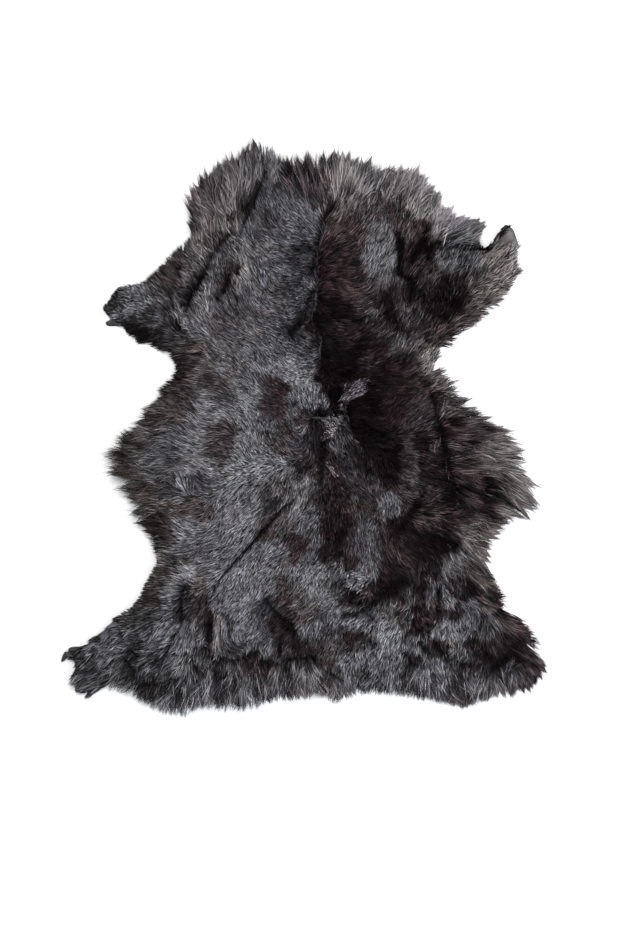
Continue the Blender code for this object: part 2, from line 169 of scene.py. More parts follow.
    (160, 660, 12, 232, 31, 40, 14, 0.64), (190, 660, 11, 250, 33, 42, 16, 0.66), (236, 646, 8, 345, 26, 36, 14, 0.55),
    # smaller turns of the nap
    (268, 205, 9, 128, 23, 46, 24, 0.35), (256, 224, 9, 126, 24, 46, 24, 0.35), (305, 192, 8, 103, 56, 40, 14, 0.75),
    (318, 199, 7, 100, 50, 42, 16, 0.75), (276, 185, 8, 105, 48, 40, 14, 0.70), (240, 186, 9, 97, 58, 40, 12, 0.72),
    (337, 243, 8, 28, 27, 42, 20, 0.42), (382, 262, 9, 63, 28, 46, 24, 0.45), (366, 236, 8, 72, 29, 46, 24, 0.45),
    (390, 300, 9, 60, 28, 44, 22, 0.45), (366, 280, 8, 50, 27, 44, 22, 0.45), (352, 412, 8, 4, 22, 46, 24, 0.45),
    (544, 668, 8, 306, 42, 30, 4, 0.80), (538, 682, 8, 290, 42, 30, 4, 0.80), (150, 610, 9, 158, 22, 34, 14, 0.50),
    (150, 656, 9, 238, 29, 38, 14, 0.62), (228, 630, 7, 268, 26, 46, 24, 0.50), (186, 508, 9, 178, 28, 36, 14, 0.50),
    (430, 610, 9, 300, 27, 44, 22, 0.55), (488, 620, 8, 272, 32, 40, 16, 0.62), (502, 626, 8, 300, 38, 38, 12, 0.66),
    (300, 318, 6, 240, 16, 50, 30, 0.40),
    (446, 346, 6, 4, 30, 32, 10, 0.70), (498, 300, 7, 14, 34, 30, 10, 0.72),
]

# How light the wool looks (0 black to 1 palest) and how warm (0 cool grey to 1 brown), as its own tone together with
# painted sheen, the cool grey where the nap catches the light, and painted shade on the shadowed sides of folds and
# lobes: x, y, reach along x, reach along y, lightness, warmth.
TONES = [
    # neck fringe
    (203, 210, 12, 16, 0.41, 0.50), (222, 180, 12, 12, 0.46, 0.55), (246, 160, 14, 14, 0.39, 0.45),
    (214, 208, 6, 10, 0.50, 0.55), (234, 200, 7, 12, 0.55, 0.60), (222, 217, 8, 9, 0.54, 0.65),
    (250, 176, 8, 14, 0.51, 0.30), (268, 158, 10, 10, 0.59, 0.40), (291, 178, 6, 14, 0.27, 0.50),
    (308, 176, 9, 14, 0.33, 0.40), (322, 180, 6, 14, 0.45, 0.50), (332, 176, 5, 14, 0.44, 0.55),
    (337, 196, 6, 5, 0.61, 0.60), (344, 176, 5, 14, 0.66, 0.60), (358, 185, 8, 14, 0.67, 0.65),
    (352, 205, 8, 4, 0.65, 0.70), (371, 188, 6, 12, 0.61, 0.35), (384, 185, 8, 12, 0.59, 0.45),
    (396, 188, 6, 14, 0.51, 0.50), (411, 185, 8, 14, 0.73, 0.70), (424, 184, 10, 14, 0.83, 0.70),
    (436, 205, 10, 10, 0.74, 0.60), (445, 224, 8, 6, 0.95, 0.55), (460, 222, 9, 8, 0.83, 0.35),
    (477, 228, 8, 8, 0.51, 0.70), (462, 240, 10, 5, 0.48, 0.20),
    # neck, left of the parting
    (279, 200, 12, 9, 0.51, 0.15), (300, 212, 10, 8, 0.50, 0.12), (308, 230, 8, 8, 0.48, 0.10),
    (292, 216, 6, 4, 0.58, 0.10), (286, 240, 9, 6, 0.52, 0.15), (272, 222, 8, 7, 0.42, 0.25),
    (256, 236, 8, 10, 0.49, 0.20), (250, 252, 8, 7, 0.57, 0.40), (266, 250, 8, 6, 0.60, 0.45),
    (280, 264, 10, 8, 0.47, 0.15), (301, 256, 7, 9, 0.36, 0.05), (266, 272, 9, 8, 0.53, 0.20),
    (244, 276, 6, 8, 0.67, 0.60), (240, 300, 9, 10, 0.48, 0.30), (258, 294, 9, 10, 0.52, 0.25),
    (276, 290, 6, 10, 0.45, 0.35), (274, 312, 9, 8, 0.45, 0.25), (297, 296, 9, 14, 0.44, 0.10),
    (312, 283, 5, 5, 0.57, 0.15), (300, 311, 8, 5, 0.48, 0.10), (286, 330, 9, 10, 0.47, 0.10),
    (268, 338, 8, 7, 0.50, 0.15), (253, 333, 6, 4, 0.58, 0.40), (236, 330, 10, 9, 0.46, 0.30),
    # left shoulder and fore-leg
    (204, 242, 7, 10, 0.51, 0.65), (186, 262, 10, 8, 0.44, 0.60), (180, 264, 3, 6, 0.28, 1.00),
    (170, 276, 8, 8, 0.35, 0.70), (196, 262, 6, 8, 0.60, 0.45), (186, 276, 6, 6, 0.52, 0.35),
    (216, 258, 7, 6, 0.48, 0.25), (210, 284, 6, 9, 0.60, 0.40), (202, 308, 6, 9, 0.62, 0.35),
    (197, 328, 7, 7, 0.62, 0.30), (238, 288, 4, 7, 0.76, 0.60), (228, 272, 6, 6, 0.46, 0.55),
    (226, 288, 5, 6, 0.35, 0.85), (222, 305, 7, 10, 0.46, 0.25), (140, 296, 14, 9, 0.56, 0.15),
    (122, 302, 8, 8, 0.47, 0.05), (112, 298, 6, 8, 0.33, 0.40), (130, 308, 9, 8, 0.60, 0.05),
    (146, 318, 12, 9, 0.39, 0.20), (140, 334, 10, 7, 0.15, 0.60), (160, 340, 8, 6, 0.25, 0.60),
    (158, 296, 7, 8, 0.40, 0.50), (172, 308, 6, 7, 0.40, 0.20), (178, 312, 3, 8, 0.64, 0.30),
    (184, 300, 5, 8, 0.34, 0.15), (176, 340, 8, 6, 0.42, 0.20), (192, 348, 9, 5, 0.42, 0.80),
    # left flank and belly
    (182, 372, 8, 10, 0.26, 0.85), (204, 362, 8, 7, 0.42, 0.60), (222, 358, 9, 9, 0.57, 0.30),
    (236, 368, 8, 8, 0.58, 0.30), (196, 382, 9, 7, 0.46, 0.70), (184, 396, 9, 8, 0.38, 0.70),
    (214, 384, 8, 7, 0.37, 0.75), (206, 398, 8, 7, 0.58, 0.35), (226, 400, 7, 6, 0.50, 0.30),
    (212, 414, 9, 7, 0.62, 0.20), (198, 425, 8, 8, 0.54, 0.25), (220, 434, 9, 9, 0.41, 0.66),
    (218, 450, 9, 9, 0.41, 0.70), (246, 396, 8, 12, 0.64, 0.10), (246, 428, 8, 12, 0.66, 0.10),
    (244, 456, 8, 10, 0.69, 0.12), (196, 446, 8, 8, 0.62, 0.29), (206, 466, 9, 6, 0.63, 0.35),
    (160, 412, 12, 9, 0.37, 0.69), (150, 432, 11, 8, 0.43, 0.46), (166, 438, 10, 8, 0.48, 0.13),
    (128, 442, 12, 7, 0.28, 0.80), (120, 456, 13, 9, 0.33, 0.85), (132, 474, 13, 9, 0.33, 0.85),
    (154, 456, 11, 9, 0.49, 0.10), (150, 474, 9, 7, 0.51, 0.15), (176, 466, 7, 9, 0.40, 0.30),
    (186, 474, 4, 6, 0.58, 0.25), (181, 490, 3, 10, 0.74, 0.30), (192, 486, 5, 6, 0.59, 0.25),
    (202, 484, 6, 6, 0.45, 0.20), (168, 488, 7, 7, 0.44, 0.35), (138, 492, 12, 7, 0.32, 0.85),
    (178, 508, 16, 6, 0.42, 0.72), (200, 506, 8, 5, 0.43, 0.64), (144, 512, 11, 7, 0.31, 0.90),
    (156, 520, 9, 6, 0.28, 0.90), (152, 534, 8, 7, 0.31, 0.90), (168, 536, 6, 7, 0.35, 0.60),
    (184, 526, 9, 6, 0.65, 0.20), (186, 546, 9, 6, 0.56, 0.25), (164, 552, 8, 7, 0.46, 0.75),
    # back and loin
    (228, 500, 9, 10, 0.63, 0.15), (248, 492, 10, 9, 0.64, 0.15), (232, 516, 9, 9, 0.65, 0.30),
    (252, 512, 9, 9, 0.60, 0.20), (270, 500, 8, 9, 0.38, 0.30), (240, 536, 9, 9, 0.64, 0.20),
    (214, 534, 9, 7, 0.61, 0.15), (206, 548, 8, 7, 0.49, 0.20), (222, 556, 9, 7, 0.60, 0.15),
    (204, 564, 8, 6, 0.58, 0.30), (284, 366, 12, 8, 0.74, 0.20), (302, 376, 10, 7, 0.70, 0.15),
    (276, 372, 7, 5, 0.72, 0.30), (306, 352, 10, 9, 0.52, 0.10), (282, 350, 9, 8, 0.55, 0.12),
    (262, 356, 9, 8, 0.58, 0.15), (250, 380, 8, 8, 0.52, 0.15), (270, 382, 7, 5, 0.34, 0.50),
    (276, 396, 8, 8, 0.31, 0.80), (266, 404, 6, 5, 0.33, 0.50), (280, 410, 8, 6, 0.32, 0.80),
    (306, 396, 9, 6, 0.68, 0.10), (320, 402, 8, 5, 0.66, 0.12), (290, 412, 5, 6, 0.56, 0.20),
    (272, 428, 9, 7, 0.47, 0.25), (284, 430, 7, 7, 0.39, 0.75), (304, 428, 5, 5, 0.56, 0.20),
    (312, 436, 8, 9, 0.26, 0.10), (298, 448, 6, 7, 0.49, 0.15), (276, 446, 8, 7, 0.48, 0.60),
    (266, 450, 7, 7, 0.59, 0.20), (260, 472, 9, 7, 0.71, 0.15), (284, 468, 8, 6, 0.64, 0.20),
    (304, 466, 6, 8, 0.30, 0.55), (316, 474, 5, 8, 0.44, 0.75), (278, 486, 9, 6, 0.55, 0.45),
    (304, 486, 8, 6, 0.62, 0.30), (320, 490, 8, 8, 0.38, 0.60), (296, 508, 9, 7, 0.62, 0.35),
    (280, 522, 9, 6, 0.46, 0.60), (308, 520, 8, 9, 0.57, 0.20), (264, 532, 5, 5, 0.40, 0.70),
    (330, 505, 8, 8, 0.31, 0.70), (340, 490, 7, 8, 0.26, 0.55), (330, 536, 8, 12, 0.20, 0.75),
    (342, 520, 8, 9, 0.25, 0.85), (352, 508, 9, 6, 0.40, 0.85), (358, 482, 8, 8, 0.38, 0.25),
    (350, 452, 9, 8, 0.28, 0.15), (342, 440, 6, 10, 0.47, 0.20), (336, 470, 4, 10, 0.30, 0.85),
    (372, 486, 7, 7, 0.37, 0.30), (388, 504, 7, 9, 0.58, 0.20), (372, 510, 8, 7, 0.41, 0.50),
    (366, 530, 7, 9, 0.50, 0.15), (356, 540, 7, 8, 0.42, 0.25), (372, 556, 7, 9, 0.50, 0.20),
    (346, 552, 6, 8, 0.29, 0.70), (332, 552, 8, 8, 0.19, 0.40), (298, 547, 7, 8, 0.33, 0.80),
    (280, 552, 9, 6, 0.58, 0.20), (318, 540, 5, 8, 0.47, 0.10), (268, 562, 9, 8, 0.61, 0.20),
    (296, 572, 7, 7, 0.68, 0.15), (312, 572, 7, 9, 0.71, 0.10), (286, 578, 6, 9, 0.42, 0.60),
    (330, 578, 7, 6, 0.54, 0.15), (322, 596, 9, 8, 0.67, 0.12), (340, 588, 8, 7, 0.46, 0.15),
    (357, 581, 7, 7, 0.60, 0.20), (364, 572, 6, 5, 0.61, 0.30), (336, 562, 6, 5, 0.55, 0.25),
    (366, 594, 8, 5, 0.35, 0.75), (352, 598, 7, 5, 0.27, 0.75), (390, 572, 8, 14, 0.20, 0.75),
    (396, 552, 9, 9, 0.33, 0.80), (384, 540, 6, 9, 0.34, 0.75), (404, 532, 9, 7, 0.24, 0.80),
    (240, 590, 11, 11, 0.66, 0.15), (262, 582, 9, 9, 0.63, 0.25), (246, 616, 10, 9, 0.64, 0.15),
    (262, 614, 7, 9, 0.43, 0.05), (250, 634, 9, 6, 0.63, 0.15), (268, 640, 8, 8, 0.41, 0.10),
    (300, 600, 7, 8, 0.46, 0.45), (288, 612, 6, 9, 0.32, 0.75), (310, 612, 7, 8, 0.46, 0.50),
    (308, 630, 8, 7, 0.62, 0.15), (326, 612, 6, 10, 0.60, 0.10), (326, 632, 7, 6, 0.44, 0.20),
    (334, 646, 9, 7, 0.50, 0.35), (310, 644, 9, 6, 0.36, 0.50), (326, 660, 8, 5, 0.42, 0.80),
    (358, 638, 9, 5, 0.29, 0.75), (352, 646, 7, 5, 0.28, 0.75), (354, 620, 8, 7, 0.68, 0.15),
    (372, 616, 7, 6, 0.59, 0.10), (388, 612, 8, 7, 0.57, 0.60), (386, 630, 9, 8, 0.74, 0.15),
    (372, 640, 5, 7, 0.42, 0.15), (366, 656, 9, 9, 0.70, 0.12), (390, 650, 10, 9, 0.70, 0.12),
    (384, 668, 12, 7, 0.58, 0.15), (350, 664, 7, 6, 0.69, 0.10), (402, 612, 5, 8, 0.32, 0.70),
    # neck, right of the parting, and right shoulder
    (345, 214, 10, 6, 0.47, 0.75), (346, 236, 12, 10, 0.40, 0.85), (332, 230, 5, 8, 0.37, 0.80),
    (340, 260, 12, 11, 0.30, 0.76), (330, 285, 10, 10, 0.26, 0.90), (352, 285, 10, 10, 0.33, 0.83),
    (340, 310, 12, 9, 0.14, 0.85), (352, 330, 12, 8, 0.31, 0.80), (330, 336, 9, 7, 0.22, 0.80),
    (320, 345, 6, 7, 0.18, 0.60), (340, 358, 13, 12, 0.13, 0.50), (352, 378, 10, 8, 0.14, 0.60),
    (328, 382, 7, 9, 0.16, 0.60), (334, 398, 5, 8, 0.11, 0.50), (362, 214, 8, 6, 0.52, 0.40),
    (372, 210, 8, 7, 0.43, 0.60), (380, 236, 8, 12, 0.56, 0.20), (374, 262, 8, 12, 0.64, 0.15),
    (386, 252, 6, 14, 0.61, 0.20), (366, 290, 9, 10, 0.40, 0.55), (388, 284, 8, 8, 0.49, 0.35),
    (392, 212, 10, 7, 0.34, 0.70), (404, 228, 9, 9, 0.45, 0.80), (398, 250, 4, 16, 0.16, 0.60),
    (364, 306, 8, 6, 0.37, 0.50), (380, 300, 8, 7, 0.30, 0.60), (395, 296, 7, 8, 0.29, 0.50),
    (418, 216, 8, 6, 0.79, 0.90), (424, 230, 8, 7, 0.36, 0.90), (436, 228, 5, 6, 0.79, 0.60),
    (438, 258, 8, 8, 0.52, 0.20), (454, 264, 9, 9, 0.52, 0.15), (470, 258, 9, 8, 0.58, 0.20),
    (486, 262, 8, 9, 0.60, 0.75), (500, 258, 9, 9, 0.66, 0.90), (506, 276, 9, 10, 0.74, 0.95),
    (518, 262, 5, 14, 0.83, 0.75), (520, 278, 5, 9, 0.95, 0.75), (510, 294, 8, 6, 0.67, 0.75),
    (492, 286, 10, 9, 0.59, 0.90), (470, 276, 9, 7, 0.39, 0.75), (458, 284, 7, 6, 0.36, 0.70),
    (480, 300, 8, 7, 0.53, 0.90), (492, 304, 8, 6, 0.57, 0.70), (472, 312, 9, 6, 0.44, 0.85),
    (450, 300, 12, 9, 0.17, 0.50), (434, 292, 6, 10, 0.21, 0.60), (428, 276, 8, 9, 0.43, 0.55),
    (414, 262, 8, 10, 0.29, 0.60), (430, 256, 6, 6, 0.14, 0.50), (424, 304, 8, 9, 0.34, 0.70),
    (412, 312, 6, 10, 0.44, 0.45), (440, 316, 8, 5, 0.22, 0.70), (458, 324, 9, 6, 0.42, 0.85),
    (452, 334, 9, 6, 0.46, 0.80), (464, 330, 6, 6, 0.52, 0.50), (432, 334, 9, 8, 0.38, 0.80),
    (412, 334, 8, 10, 0.40, 0.50), (390, 322, 8, 8, 0.26, 0.75), (380, 334, 7, 6, 0.44, 0.30),
    (376, 342, 8, 9, 0.20, 0.90), (396, 346, 8, 6, 0.49, 0.35), (414, 350, 7, 5, 0.46, 0.60),
    (372, 364, 8, 7, 0.32, 0.60), (388, 376, 11, 11, 0.20, 0.95), (404, 366, 9, 7, 0.34, 0.80),
    (416, 380, 9, 9, 0.39, 0.80), (402, 392, 9, 6, 0.23, 0.85), (432, 358, 7, 7, 0.74, 0.90),
    (429, 368, 5, 6, 0.72, 0.87), (440, 376, 7, 8, 0.50, 0.86), (448, 388, 6, 9, 0.60, 0.75),
    (426, 392, 9, 7, 0.34, 0.75),
    # right flank and belly
    (372, 400, 8, 12, 0.15, 0.80), (370, 430, 11, 16, 0.12, 0.50), (386, 444, 8, 12, 0.16, 0.75),
    (390, 470, 8, 12, 0.19, 0.75), (372, 462, 7, 7, 0.21, 0.30), (390, 412, 8, 10, 0.28, 0.90),
    (404, 404, 8, 7, 0.32, 0.80), (422, 408, 8, 7, 0.40, 0.45), (426, 428, 7, 9, 0.36, 0.40),
    (406, 432, 5, 12, 0.39, 0.70), (410, 452, 5, 12, 0.44, 0.55), (411, 476, 6, 12, 0.45, 0.55),
    (404, 496, 6, 8, 0.41, 0.50), (424, 446, 5, 10, 0.25, 0.75), (430, 470, 7, 14, 0.30, 0.75),
    (432, 494, 8, 9, 0.34, 0.60), (446, 494, 6, 9, 0.19, 0.60), (434, 512, 9, 7, 0.40, 0.80),
    (424, 520, 7, 8, 0.37, 0.80), (444, 412, 6, 8, 0.50, 0.75), (456, 408, 8, 6, 0.50, 0.65),
    (456, 432, 9, 10, 0.34, 0.80), (474, 424, 11, 8, 0.40, 0.50), (470, 446, 11, 9, 0.41, 0.70),
    (466, 470, 11, 10, 0.36, 0.75), (492, 432, 10, 8, 0.48, 0.60), (496, 452, 10, 8, 0.54, 0.80),
    (512, 446, 12, 9, 0.64, 0.65), (496, 466, 7, 5, 0.58, 0.80), (512, 472, 12, 9, 0.65, 0.75),
    (526, 486, 12, 12, 0.68, 0.65), (506, 488, 8, 7, 0.46, 0.85), (490, 490, 6, 9, 0.15, 0.70),
    (472, 492, 8, 7, 0.28, 0.70), (466, 506, 8, 6, 0.30, 0.40), (490, 506, 8, 7, 0.27, 0.80),
    (512, 506, 10, 7, 0.55, 0.75), (530, 508, 10, 7, 0.62, 0.55), (474, 524, 8, 6, 0.47, 0.75),
    (484, 534, 9, 6, 0.59, 0.75), (466, 534, 6, 7, 0.61, 0.75), (456, 516, 8, 6, 0.30, 0.75),
    # right thigh and hind leg
    (430, 540, 14, 10, 0.13, 0.70), (450, 530, 9, 7, 0.27, 0.70), (448, 548, 7, 6, 0.15, 0.50),
    (412, 548, 9, 9, 0.23, 0.80), (476, 550, 8, 9, 0.65, 0.80), (462, 556, 6, 9, 0.59, 0.35),
    (446, 566, 5, 9, 0.58, 0.25), (470, 568, 6, 6, 0.38, 0.85), (480, 572, 6, 8, 0.49, 0.70),
    (434, 562, 6, 9, 0.21, 0.60), (414, 576, 8, 8, 0.32, 0.60), (420, 590, 7, 6, 0.23, 0.60),
    (431, 594, 5, 9, 0.67, 0.20), (446, 596, 4, 8, 0.66, 0.15), (458, 586, 7, 6, 0.34, 0.30),
    (470, 592, 7, 8, 0.18, 0.85), (486, 592, 7, 12, 0.50, 0.85), (494, 600, 6, 6, 0.27, 0.80),
    (408, 596, 6, 7, 0.44, 0.40), (428, 612, 10, 8, 0.27, 0.72), (412, 622, 9, 8, 0.23, 0.64),
    (408, 616, 4, 8, 0.57, 0.16), (468, 610, 5, 10, 0.62, 0.10), (452, 612, 6, 6, 0.31, 0.30),
    (448, 628, 10, 8, 0.68, 0.12), (434, 634, 5, 6, 0.82, 0.12), (468, 630, 6, 8, 0.50, 0.15),
    (488, 628, 9, 9, 0.51, 0.15), (480, 616, 5, 4, 0.26, 0.30), (508, 612, 8, 8, 0.40, 0.80),
    (512, 624, 7, 7, 0.36, 0.85), (438, 644, 8, 6, 0.27, 0.90), (450, 642, 5, 7, 0.66, 0.45),
    (460, 652, 8, 6, 0.51, 0.15), (478, 646, 8, 6, 0.24, 0.70), (496, 646, 8, 6, 0.36, 0.50),
    (516, 646, 10, 8, 0.25, 0.60), (530, 650, 9, 9, 0.36, 0.75), (534, 668, 10, 9, 0.33, 0.60),
    (545, 665, 7, 12, 0.45, 0.70), (412, 642, 7, 7, 0.55, 0.15), (412, 658, 8, 6, 0.33, 0.15),
    (430, 664, 9, 7, 0.67, 0.15), (452, 664, 7, 6, 0.44, 0.15), (446, 672, 9, 8, 0.60, 0.20),
    (470, 672, 8, 5, 0.46, 0.20), (484, 668, 7, 5, 0.36, 0.20), (500, 660, 10, 6, 0.12, 0.40),
    (510, 676, 8, 7, 0.43, 0.20), (524, 684, 10, 8, 0.36, 0.40),
    # rump fringe
    (480, 686, 12, 8, 0.55, 0.30), (456, 688, 8, 9, 0.40, 0.30), (438, 686, 7, 9, 0.58, 0.25),
    (415, 684, 10, 8, 0.49, 0.25), (392, 684, 10, 7, 0.52, 0.20), (366, 682, 9, 8, 0.54, 0.20),
    (346, 676, 8, 8, 0.54, 0.25), (330, 684, 7, 9, 0.47, 0.35), (314, 676, 8, 7, 0.56, 0.40),
    (298, 672, 9, 6, 0.55, 0.30), (292, 688, 8, 7, 0.44, 0.30), (280, 680, 7, 8, 0.54, 0.35),
    (268, 690, 7, 9, 0.46, 0.20), (250, 686, 8, 12, 0.55, 0.20), (238, 690, 6, 10, 0.49, 0.30),
    (222, 690, 7, 12, 0.43, 0.20), (208, 688, 5, 12, 0.59, 0.15), (196, 694, 6, 10, 0.53, 0.20),
    (180, 694, 7, 10, 0.51, 0.25), (165, 696, 8, 9, 0.51, 0.20), (146, 690, 9, 7, 0.26, 0.30),
    (176, 680, 8, 6, 0.41, 0.15), (236, 674, 8, 6, 0.45, 0.30), (256, 664, 9, 6, 0.33, 0.60),
    (212, 670, 8, 5, 0.32, 0.20),
    # left thigh and hind leg
    (88, 682, 10, 7, 0.52, 0.20), (90, 668, 9, 7, 0.42, 0.10), (80, 662, 6, 9, 0.39, 0.20),
    (112, 680, 10, 6, 0.46, 0.20), (110, 662, 10, 7, 0.56, 0.12), (104, 646, 11, 7, 0.61, 0.12),
    (116, 632, 10, 6, 0.55, 0.15), (92, 640, 6, 3, 0.32, 0.50), (124, 618, 10, 5, 0.37, 0.50),
    (146, 614, 8, 6, 0.33, 0.35), (150, 596, 9, 7, 0.30, 0.70), (160, 578, 8, 7, 0.38, 0.70),
    (172, 588, 7, 6, 0.59, 0.20), (186, 572, 8, 3, 0.85, 0.25), (176, 560, 9, 6, 0.45, 0.35),
    (186, 592, 7, 6, 0.41, 0.50), (196, 586, 6, 6, 0.53, 0.80), (166, 610, 7, 6, 0.47, 0.15),
    (150, 626, 8, 5, 0.46, 0.12), (166, 628, 7, 6, 0.59, 0.12), (184, 612, 7, 7, 0.38, 0.30),
    (200, 610, 6, 9, 0.50, 0.60), (192, 634, 9, 8, 0.57, 0.15), (208, 626, 5, 12, 0.23, 0.60),
    (219, 630, 4, 10, 0.68, 0.50), (132, 648, 8, 6, 0.42, 0.15), (150, 650, 8, 8, 0.52, 0.12),
    (172, 652, 8, 7, 0.60, 0.12), (146, 666, 9, 7, 0.45, 0.12), (172, 670, 8, 6, 0.68, 0.15),
    (190, 656, 7, 6, 0.51, 0.30), (128, 668, 5, 6, 0.28, 0.15), (236, 647, 8, 5, 0.42, 0.15),
    (222, 612, 6, 8, 0.59, 0.15),
    # smaller marks
    (192, 200, 5, 12, 0.36, 0.60), (264, 156, 6, 8, 0.62, 0.30), (256, 146, 4, 6, 0.37, 0.50),
    (258, 205, 4, 8, 0.50, 0.15), (300, 184, 5, 8, 0.19, 0.50), (215, 262, 6, 5, 0.56, 0.20),
    (222, 280, 5, 6, 0.41, 0.30), (206, 312, 5, 7, 0.60, 0.40), (220, 322, 6, 6, 0.42, 0.40),
    (150, 318, 5, 9, 0.34, 0.50), (136, 300, 8, 6, 0.58, 0.10), (180, 470, 3, 5, 0.66, 0.25),
    (190, 484, 4, 5, 0.65, 0.20), (196, 478, 3, 5, 0.42, 0.20), (208, 494, 6, 5, 0.48, 0.21),
    (220, 500, 6, 8, 0.59, 0.20), (283, 376, 8, 4, 0.74, 0.20), (288, 405, 5, 5, 0.50, 0.20),
    (268, 405, 4, 4, 0.25, 0.40), (306, 418, 5, 5, 0.34, 0.70), (320, 424, 6, 8, 0.22, 0.10),
    (300, 462, 6, 6, 0.40, 0.40), (288, 574, 4, 5, 0.70, 0.15), (299, 592, 4, 6, 0.60, 0.60),
    (284, 588, 4, 6, 0.34, 0.70), (312, 560, 6, 6, 0.52, 0.15), (428, 600, 3, 6, 0.69, 0.12),
    (433, 590, 4, 5, 0.66, 0.15), (440, 592, 2, 5, 0.21, 0.50), (447, 598, 3, 6, 0.70, 0.15),
    (407, 600, 3, 8, 0.55, 0.24), (407, 620, 3, 7, 0.65, 0.12), (460, 552, 3, 7, 0.74, 0.25),
    (450, 568, 3, 7, 0.64, 0.20), (512, 624, 4, 6, 0.50, 0.80), (496, 650, 7, 6, 0.39, 0.50),
    (478, 652, 7, 6, 0.24, 0.70), (356, 642, 8, 7, 0.43, 0.50), (372, 628, 5, 6, 0.61, 0.15),
    (310, 632, 6, 6, 0.62, 0.15), (346, 626, 5, 5, 0.54, 0.30), (424, 668, 5, 7, 0.63, 0.15),
    (250, 652, 5, 4, 0.60, 0.15), (268, 648, 6, 6, 0.56, 0.15), (208, 684, 3, 14, 0.67, 0.15),
    (228, 678, 3, 8, 0.57, 0.20), (247, 682, 3, 12, 0.58, 0.15), (262, 690, 3, 12, 0.57, 0.40),
    (189, 690, 4, 14, 0.57, 0.15), (163, 698, 5, 10, 0.55, 0.15), (306, 676, 6, 6, 0.63, 0.15),
    (150, 612, 8, 7, 0.41, 0.30), (172, 596, 6, 5, 0.58, 0.20), (217, 618, 4, 7, 0.62, 0.75),
    (226, 632, 3, 10, 0.59, 0.15), (104, 656, 8, 5, 0.51, 0.12), (140, 656, 6, 5, 0.40, 0.15),
    (345, 205, 5, 4, 0.51, 0.80), (337, 200, 4, 4, 0.59, 0.60), (436, 214, 8, 8, 0.74, 0.60),
    (424, 206, 6, 8, 0.75, 0.70), (462, 232, 8, 7, 0.76, 0.20), (480, 232, 5, 7, 0.60, 0.60),
    (372, 250, 5, 14, 0.57, 0.20), (384, 262, 6, 12, 0.68, 0.15), (372, 317, 4, 5, 0.53, 0.40),
    (404, 316, 7, 6, 0.42, 0.35), (436, 258, 4, 6, 0.62, 0.20), (472, 270, 4, 12, 0.53, 0.25),
    (408, 462, 4, 16, 0.45, 0.50), (420, 452, 3, 14, 0.22, 0.75), (404, 488, 6, 6, 0.44, 0.45),
    (276, 630, 6, 8, 0.27, 0.60), (318, 316, 5, 12, 0.17, 0.70), (404, 160, 10, 8, 0.65, 0.55),
    (364, 164, 8, 8, 0.57, 0.45), (272, 164, 6, 10, 0.67, 0.35), (284, 156, 8, 6, 0.68, 0.40),
    (300, 166, 7, 12, 0.44, 0.45),
    # right fore-leg, painted shadow along the rim of the bare flap where it curls up, a pale outer band, and painted
    # shade along the crease on the right flank
    (490, 244, 4, 6, 0.19, 0.50), (499, 231, 5, 4, 0.14, 0.50), (507, 228, 5, 3, 0.30, 0.60),
    (522, 252, 4, 8, 0.86, 0.70), (522, 284, 5, 8, 0.95, 0.70), (512, 296, 6, 5, 0.75, 0.70),
    (500, 306, 6, 4, 0.63, 0.70),
    (440, 430, 3, 9, 0.12, 0.70), (447, 457, 3, 12, 0.12, 0.70),
]
